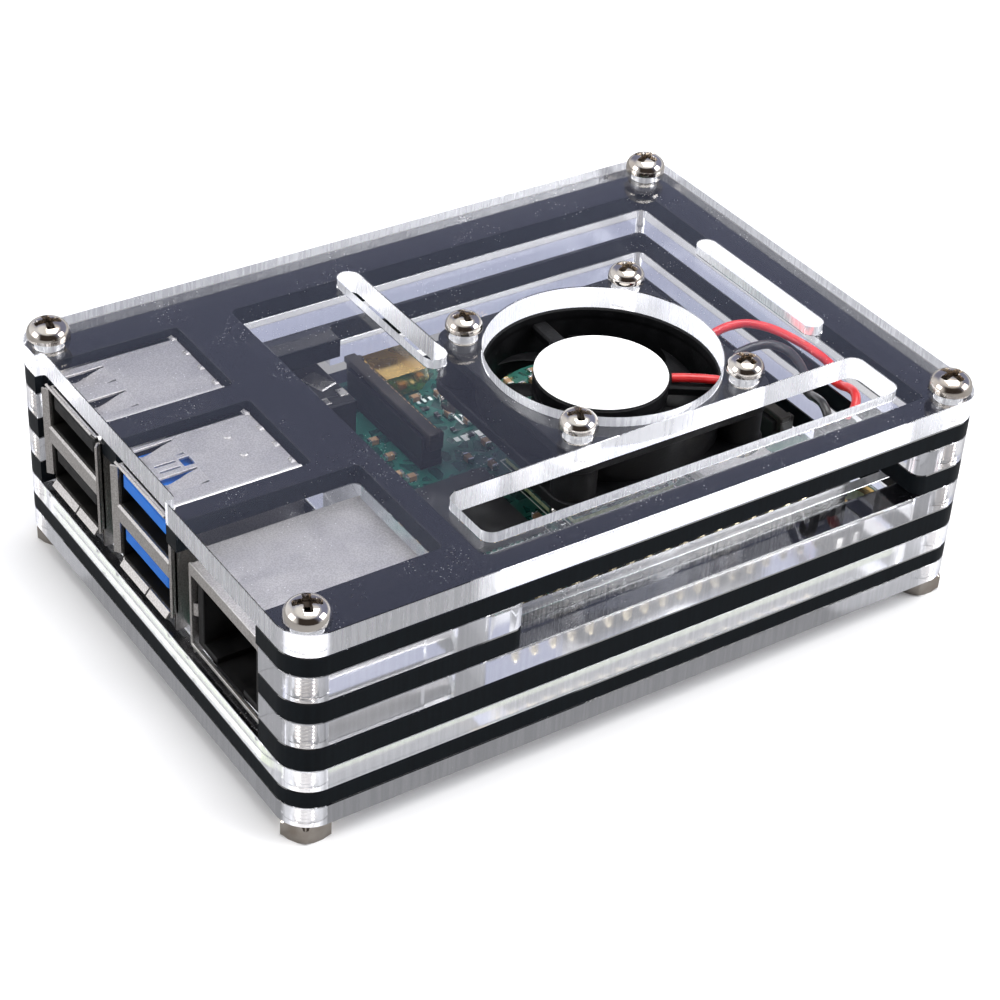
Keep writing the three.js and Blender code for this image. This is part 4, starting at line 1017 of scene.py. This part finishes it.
def flared_lip(edge, outward, start, end, along):
    """A strip of sheet at the mouth that runs straight, then leans out from the edge by about 50 degrees. It
    is carried from start to end along y or z, and outward is 1 or -1."""
    section = [(45.0, 0), (45.5, 0), (46.0, 0.6), (46.2, 0.44), (45.64, -0.3), (45.0, -0.3)]
    corners = [(x, edge + outward * out, 0) for x, out in section]
    if along == "y":
        corners = [(y, x, 0) for x, y, _ in corners]
    return plate([outline(*corners)], start, end, 0.04, along=along)


def usb_socket(shell, insert, tongue_finish, slot, fingers, width, shift):
    """A shell with two mouths and a roof cut for spring fingers, then near-black liners of painted shade
    inside the mouths, the insert and contacts. A shift other than zero adds a window, two slits and two
    dimples to the roof, that far from its middle."""
    low, high = span(shell)
    middle = (low[1] + high[1]) / 2
    back, roof, half, front = low[0], high[2] - 0.55, 6.6, FLANGE_LINE
    root, tip, deep, rim = 39.0, 44.1, 31.95, 45.4
    windows = [outline((tip + 0.2, middle + y - width - 0.2, 0.2), (tip + 0.2, middle + y + width + 0.2, 0.2),
                       (root + 0.3, middle + y + width + 0.25, 0.1),
                       (root + 0.3, middle + y - width - 0.25, 0.1))
               for y in fingers]
    if shift:
        windows.append(box_loop(39.1, 40.4, middle + shift - 0.8, middle + shift + 0.8, 0.15))
        windows += [box_loop(40.8, 43.4, middle + shift + y - 0.14, middle + shift + y + 0.14, 0.1)
                    for y in (-0.6, 0.6)]
    teeth = [middle + 5.4 - 3.6 * k for k in range(4)]
    notches = [(back + depth, y - aside, 0) for y in teeth
               for depth, aside in ((0.3, 0), (0.85, 0.25), (0.85, 1.1), (0.3, 1.35))]
    roof_loop = outline((back + 0.3, middle - 5.86, 0), (front, middle - 5.86, 0), (front, middle + 5.86, 0),
                        (back + 0.3, middle + 5.86, 0), *notches)
    shapes = [plate([roof_loop, *windows], roof - SHEET, roof, 0.05)]
    shapes += [folded_side(middle, half, side, 9.0, roof, back, front) for side in (-1, 1)]
    shapes.append(plate([box_loop(middle - 6.3, middle + 6.3, 9.0, roof - 0.3, 0.2)],
                        back, back + SHEET, 0.03, along="x"))
    shapes += [bar((back + 0.1, y - 1.15, roof - 0.5), (back + 0.75, y - 0.35, roof + 0.06), 0.2)
               for y in teeth]
    shapes += [spring_finger(middle + y, root, tip, roof, 0.8, width) for y in fingers]
    if shift:
        shapes += [plate([circle(33.6, middle + shift + y, 0.5, 24)], roof - 0.1, roof + 0.16, 0.13)
                   for y in (-1.95, 1.95)]
    shapes += [flared_lip(middle + side * half, side, 12.1, 24.3, "z") for side in (-1, 1)]
    shapes.append(flared_lip(roof, 1, middle - 6.0, middle + 6.0, "y"))
    shapes += [flared_lip(11.5, -1, middle + y0, middle + y1, "y") for y0, y1 in ((-5.7, 0.6), (0.85, 5.7))]
    shapes.append(bar((31, middle - 6.3, PORTS_Z[0][1] - 0.1), (45.9, middle + 6.3, PORTS_Z[1][0] + 0.1),
                      0.25))
    shapes.append(bar((31, middle - 6.2, 11.2), (45.5, middle + 6.2, 11.6), 0.1))
    make_piece(f"{shell}_folded", "case", socket_steel, *shapes, replaces=[shell], slot="socket_steel")
    # Thin near-black liners on the sides, floor and back of each port: painted shade that darkens the cavity.
    shade_liners = [bar((deep, middle + side * 6.09 - 0.14, z0), (rim, middle + side * 6.09 + 0.14, z1), 0.04)
              for z0, z1 in PORTS_Z for side in (-1, 1)]
    for z0, z1 in PORTS_Z:
        shade_liners += [bar((deep, middle - 6.2, z0 + 0.12), (rim, middle + 6.2, z0 + 0.26), 0.04),
                   bar((deep, middle - 6.2, z0 + 0.2), (deep + 0.15, middle + 6.2, z1 - 0.2), 0.04)]
    make_piece(f"{shell}_lining", "case", port_painted_shade, *shade_liners, slot="black_plastic")
    low, high = span(insert)
    body = [bar((low[0], middle - 5.9, low[2]), (deep - 0.05, middle + 5.9, high[2]), 0.1)]
    body += [plate([outline((31.5, middle - 5.55, 0), (45.5, middle - 5.55, 0.6), (45.5, middle + 5.55, 0.6),
                            (31.5, middle + 5.55, 0))], z0 + 2.86, z0 + 4.74, 0.2) for z0, _ in PORTS_Z]
    make_piece(f"{insert}_moulding", "case", tongue_finish, *body, replaces=[insert], slot=slot)
    contacts = [bar((33, middle + y - 0.5, z0 + 2.78), (43.6, middle + y + 0.5, z0 + 2.94), 0.03)
                for z0, _ in PORTS_Z for y in (-3.5, -1.0, 1.0, 3.5)]
    make_piece(f"{insert}_contacts", "case", gold_plate, *contacts, slot="gold_pins")


usb_socket("usb2_shell", "usb2_insert", black_plastic, "black_plastic", (-2.9, 2.9), 1.5, 0)
usb_socket("usb3_shell", "usb3_insert", blue_plastic, "blue_plastic", (-3.8, 2.3), 1.3, -0.8)

# ---- Network socket ----
# A folded steel shell round a black moulding, with a thin frame at the front, a spring tab on its left edge
# and eight gold-plated contact wires that slope through the opening.
low, high = span("network_shell")
net_middle = (low[1] + high[1]) / 2
net_half = (high[1] - low[1]) / 2
net_south, net_north = net_middle - net_half, net_middle + net_half
roof = high[2]
net_shapes = [plate([box_loop(low[0] + 0.3, high[0] - 0.3, net_south + 0.45, net_north - 0.45)],
                    roof - SHEET, roof, 0.03)]
net_shapes += [folded_side(net_middle, net_half, side, 9.1, roof, low[0], high[0] - 0.3) for side in (-1, 1)]
net_shapes.append(plate([box_loop(net_south + 0.3, net_north - 0.3, 9.1, roof - 0.3)],
                        low[0], low[0] + SHEET, 0.03, along="x"))
front_frame = [box_loop(net_south, net_north, 10.75, roof, 0.4),
               box_loop(net_south + 0.4, net_north - 0.6, 11.2, roof - 1.6, 0.3)]
net_shapes.append(plate(front_frame, high[0] - 0.35, high[0], 0.05, along="x"))
tab_way = np.linspace(0, 1, 12)[:, None]
tab_x = high[0] - 0.25 - 2.1 * tab_way ** 1.4
tab_y = net_south + 0.35 + 1.5 * tab_way ** 0.8
tab_ring = np.array([[0, 15.1], [0, 16.8], [0.22, 16.8], [0.22, 15.1]])
net_shapes.append(skin(np.stack([tab_x - tab_ring[:, 0], np.broadcast_to(tab_y, (12, 4)),
                                 np.broadcast_to(tab_ring[:, 1], (12, 4))], axis=-1)[::-1]))
make_piece("network_shell_folded", "case", socket_steel, *net_shapes, replaces=["network_shell"],
           slot="socket_steel")
low, high = span("network_insert")
cavity_low, cavity_high, keyway = 12.0, 19.8, 10.8
moulding = [box_loop(low[1], high[1], low[2], high[2], 0.2),
            outline((net_middle - 5.9, cavity_low, 0.2), (net_middle - 3, cavity_low, 0),
                    (net_middle - 3, keyway, 0.2), (net_middle + 3, keyway, 0.2),
                    (net_middle + 3, cavity_low, 0), (net_middle + 5.9, cavity_low, 0.2),
                    (net_middle + 5.9, cavity_high, 0.2),
                    (net_middle - 5.9, cavity_high, 0.2))]
make_piece("network_moulding", "case", black_plastic,
           plate(moulding, 32.5, high[0], 0.1, along="x"), bar(low, (32.6, high[1], high[2]), 0.1),
           replaces=["network_insert"], slot="black_plastic")
CONTACT_BEND = [(33, 19.2), (38, 18.9), (43.2, 18.6), (43.8, 18.2), (43.2, 17.6), (38.5, 15.6), (36.0, 14.6)]
wires = []
for k in range(8):
    y = net_middle + (k - 3.5) * 1.02
    wires.append(tube(smooth_route([(x, y, z) for x, z in CONTACT_BEND], 40), 0.2, 8, (0, 1, 0)))
make_piece("network_contacts", "case", gold_plate, *wires, slot="gold_pins")

# ---- Power, video and audio sockets ----
# Drawn steel shells with rolled mouths along the board's other long edge, each with a tongue inside,
# and a black audio socket with a tinned ring and clips.
def side_shell(node, profile, wall, tongue, name, finish, slot):
    """A tube of the profile (in z and x) with a back wall, and a tongue with contacts inside."""
    low, high = span(node)
    outer, inner = profile(low, high, 0), profile(low, high, wall)
    shapes = [plate([outer, inner], low[1], high[1], 0.06, along="y"),
              plate([profile(low, high, 0.05)], high[1] - 0.6, high[1] - 0.01, 0.05, along="y")]
    shapes += [bar((x, low[1] + 3.0, low[2] - 0.02), (x + 0.7, low[1] + 4.2, low[2] + 0.6), 0.05)
               for x in (low[0] - 0.45, high[0] - 0.25)]
    make_piece(f"{name}_shell", "case", finish, *shapes, replaces=[node], slot=slot)
    middle = (low + high) / 2
    make_piece(f"{name}_tongue", "case", black_plastic,
               bar((middle[0] - tongue, low[1] + 1.2, middle[2] - 0.35),
                   (middle[0] + tongue, high[1] - 0.5, middle[2] + 0.35), 0.12), slot="black_plastic")
    pads = [bar((x - 0.12, low[1] + 1.4, z - 0.03), (x + 0.12, low[1] + 4.4, z + 0.03), 0.01)
            for x in np.linspace(middle[0] - tongue + 0.4, middle[0] + tongue - 0.4, 9)
            for z in (middle[2] - 0.36, middle[2] + 0.36)]
    make_piece(f"{name}_contacts", "case", gold_plate, *pads, slot="gold_pins")


def stadium(low, high, wall):
    """A flat oval: a rectangle with ends almost half round."""
    return box_loop(low[2] + wall, high[2] - wall, low[0] + wall, high[0] - wall, 1.25 - wall / 2, 12)


def tapered(low, high, wall):
    """A rectangle whose lower corners are cut off at a slant."""
    return outline((low[2] + wall, low[0] + 1.0 + wall, 0.2), (low[2] + wall, high[0] - 1.0 - wall, 0.2),
                   (low[2] + 1.3, high[0] - wall, 0.2), (high[2] - wall, high[0] - wall, 0.3),
                   (high[2] - wall, low[0] + wall, 0.3), (low[2] + 1.3, low[0] + wall, 0.2))


side_shell("usb_c_socket", stadium, 0.35, 3.2, "power_socket", socket_steel, "socket_steel")
side_shell("micro_hdmi_socket_1", tapered, 0.3, 2.1, "video_socket_1", gold_plate, "gold_pins")
side_shell("micro_hdmi_socket_2", tapered, 0.3, 2.1, "video_socket_2", gold_plate, "gold_pins")

low, high = span("audio_jack")
jack_x, jack_z, jack_top = (low[0] + high[0]) / 2, board_high[2] + 3.05, low[2] + 6
bore = circle(jack_z, jack_x, 1.8, 48)
make_piece("audio_body", "case", black_plastic,
           bar((low[0], low[1] + 2.4, low[2]), (high[0], low[1] + 3.4, jack_top), 0.2),
           plate([box_loop(low[2], jack_top, low[0], high[0], 0.4), bore], low[1] + 2.4, high[1] - 1.9, 0.15,
                 along="y"),
           bar((low[0], high[1] - 2, low[2]), (high[0], high[1], jack_top), 0.2),
           plate([circle(jack_z, jack_x, 2.9, 64), bore], low[1], low[1] + 2.6, 0.12, along="y"),
           replaces=["audio_jack"], slot="black_plastic")
ring = [circle(jack_z, jack_x, 2.25, 48), circle(jack_z, jack_x, 1.82, 48)]
make_piece("audio_clips", "case", contact_tin,
           plate(ring, low[1], low[1] + 0.3, 0.05, along="y"),
           bar((12.3, -19.0, jack_top - 0.1), (14.0, -17.6, jack_top + 0.15), 0.08),
           bar((9.4, -20.0, jack_top - 0.1), (10.6, -18.4, jack_top + 0.15), 0.08),
           rotated(bar((-1.3, -1.9, jack_top - 0.1), (1.3, 1.9, jack_top + 0.25), 0.15), 18, (11.4, -22.6)),
           slot="nickel")

# ---- Ribbon connectors ----
# Dark bodies with a long slot, a tan row of contact ends, small tinned feet and a sliding latch bar on top.
latch_brown = grained("latch_brown", (0.012, 0.010, 0.009), (0.026, 0.021, 0.017), (0.4, 0.55))
contact_tan = grained("contact_tan", (0.42, 0.25, 0.10), (0.60, 0.38, 0.17), (0.35, 0.5))
for name in ("camera", "display"):
    low, high = span(f"{name}_connector")
    slit = box_loop(low[0] + 1.1, low[0] + 2.0, low[1] + 1, high[1] - 1, 0.1)
    shell = plate([box_loop(low[0], high[0], low[1], high[1], 0.2), slit], low[2] + 1, high[2], 0.08)
    sole = bar(low, (high[0], high[1], low[2] + 1.1), 0.08)
    make_piece(f"{name}_body", "case", black_plastic, shell, sole, replaces=[f"{name}_connector"],
               slot="black_plastic")
    rows = np.arange(low[1] + 1.5, high[1] - 1.2, 1.0)
    ends = [bar((low[0] + 0.25, y - 0.27, high[2] - 0.1), (low[0] + 0.95, y + 0.27, high[2] + 0.12), 0.05)
            for y in rows]
    make_piece(f"{name}_contact_ends", "case", contact_tan, *ends, slot="latch_tan")
    feet = [bar((low[0] - 0.7, y - 0.15, low[2] - 0.03), (low[0] + 0.1, y + 0.15, low[2] + 0.15), 0.03)
            for y in rows]
    make_piece(f"{name}_feet", "case", solder, *feet, slot="nickel")
    bottom, top = span(f"{name}_latch")
    latch = [plate([box_loop(bottom[0] + 0.95, top[0], bottom[1], top[1], 0.25)], top[2] - 0.85, top[2],
                   0.12)]
    latch += [bar((bottom[0] + 0.3, y - 0.5, bottom[2]), (top[0] - 0.3, y + 0.5, top[2] - 0.3), 0.1)
              for y in (bottom[1] + 0.8, top[1] - 0.8)]
    make_piece(f"{name}_latch_bar", f"{name}_latch", latch_brown, *latch, replaces=[f"{name}_latch"],
               slot="latch_tan")

# ---- Memory card and its socket ----
# A pressed steel socket under the board holds a black card whose end sticks out for a fingertip.
low, high = span("card_socket")
cage = box_loop(low[1], high[1], low[2], high[2], 0.2)
mouth = box_loop(low[1] + 0.6, high[1] - 0.6, low[2] + 0.25, high[2] - 0.25, 0.1)
make_piece("card_cage", "case", socket_steel, plate([cage, mouth], low[0], high[0] - 0.4, 0.04, along="x"),
           plate([cage], high[0] - 0.5, high[0], 0.04, along="x"),
           replaces=["card_socket"], slot="socket_steel")
low, high = span("memory_card")
card_loop = outline((low[0], low[1], 0.7), (high[0] - 1.2, low[1], 0.3), (high[0], low[1] + 1.2, 0.3),
                    (high[0], high[1], 0.5), (-34.6, high[1], 0.2), (-35.0, high[1] - 0.55, 0.2),
                    (-36.4, high[1] - 0.55, 0.2), (-36.8, high[1], 0.2), (low[0], high[1], 0.7))
grip = box_loop(low[0] + 0.25, low[0] + 1.3, low[1] + 1.0, high[1] - 1.0, 0.4)
make_piece("card_body", "card", chip_black, plate([card_loop], low[2], high[2] - 0.08, 0.1),
           plate([grip], high[2] - 0.15, high[2], 0.06), replaces=["memory_card"], slot="chip_black")
pads = [bar((high[0] - 3.4, y, low[2] - 0.01), (high[0] - 0.5, y + 0.75, low[2] + 0.05), 0.01)
        for y in low[1] + 1.6 + 1.1 * np.arange(8)]
make_piece("card_pads", "card", gold_plate, *pads, slot="gold_pins")
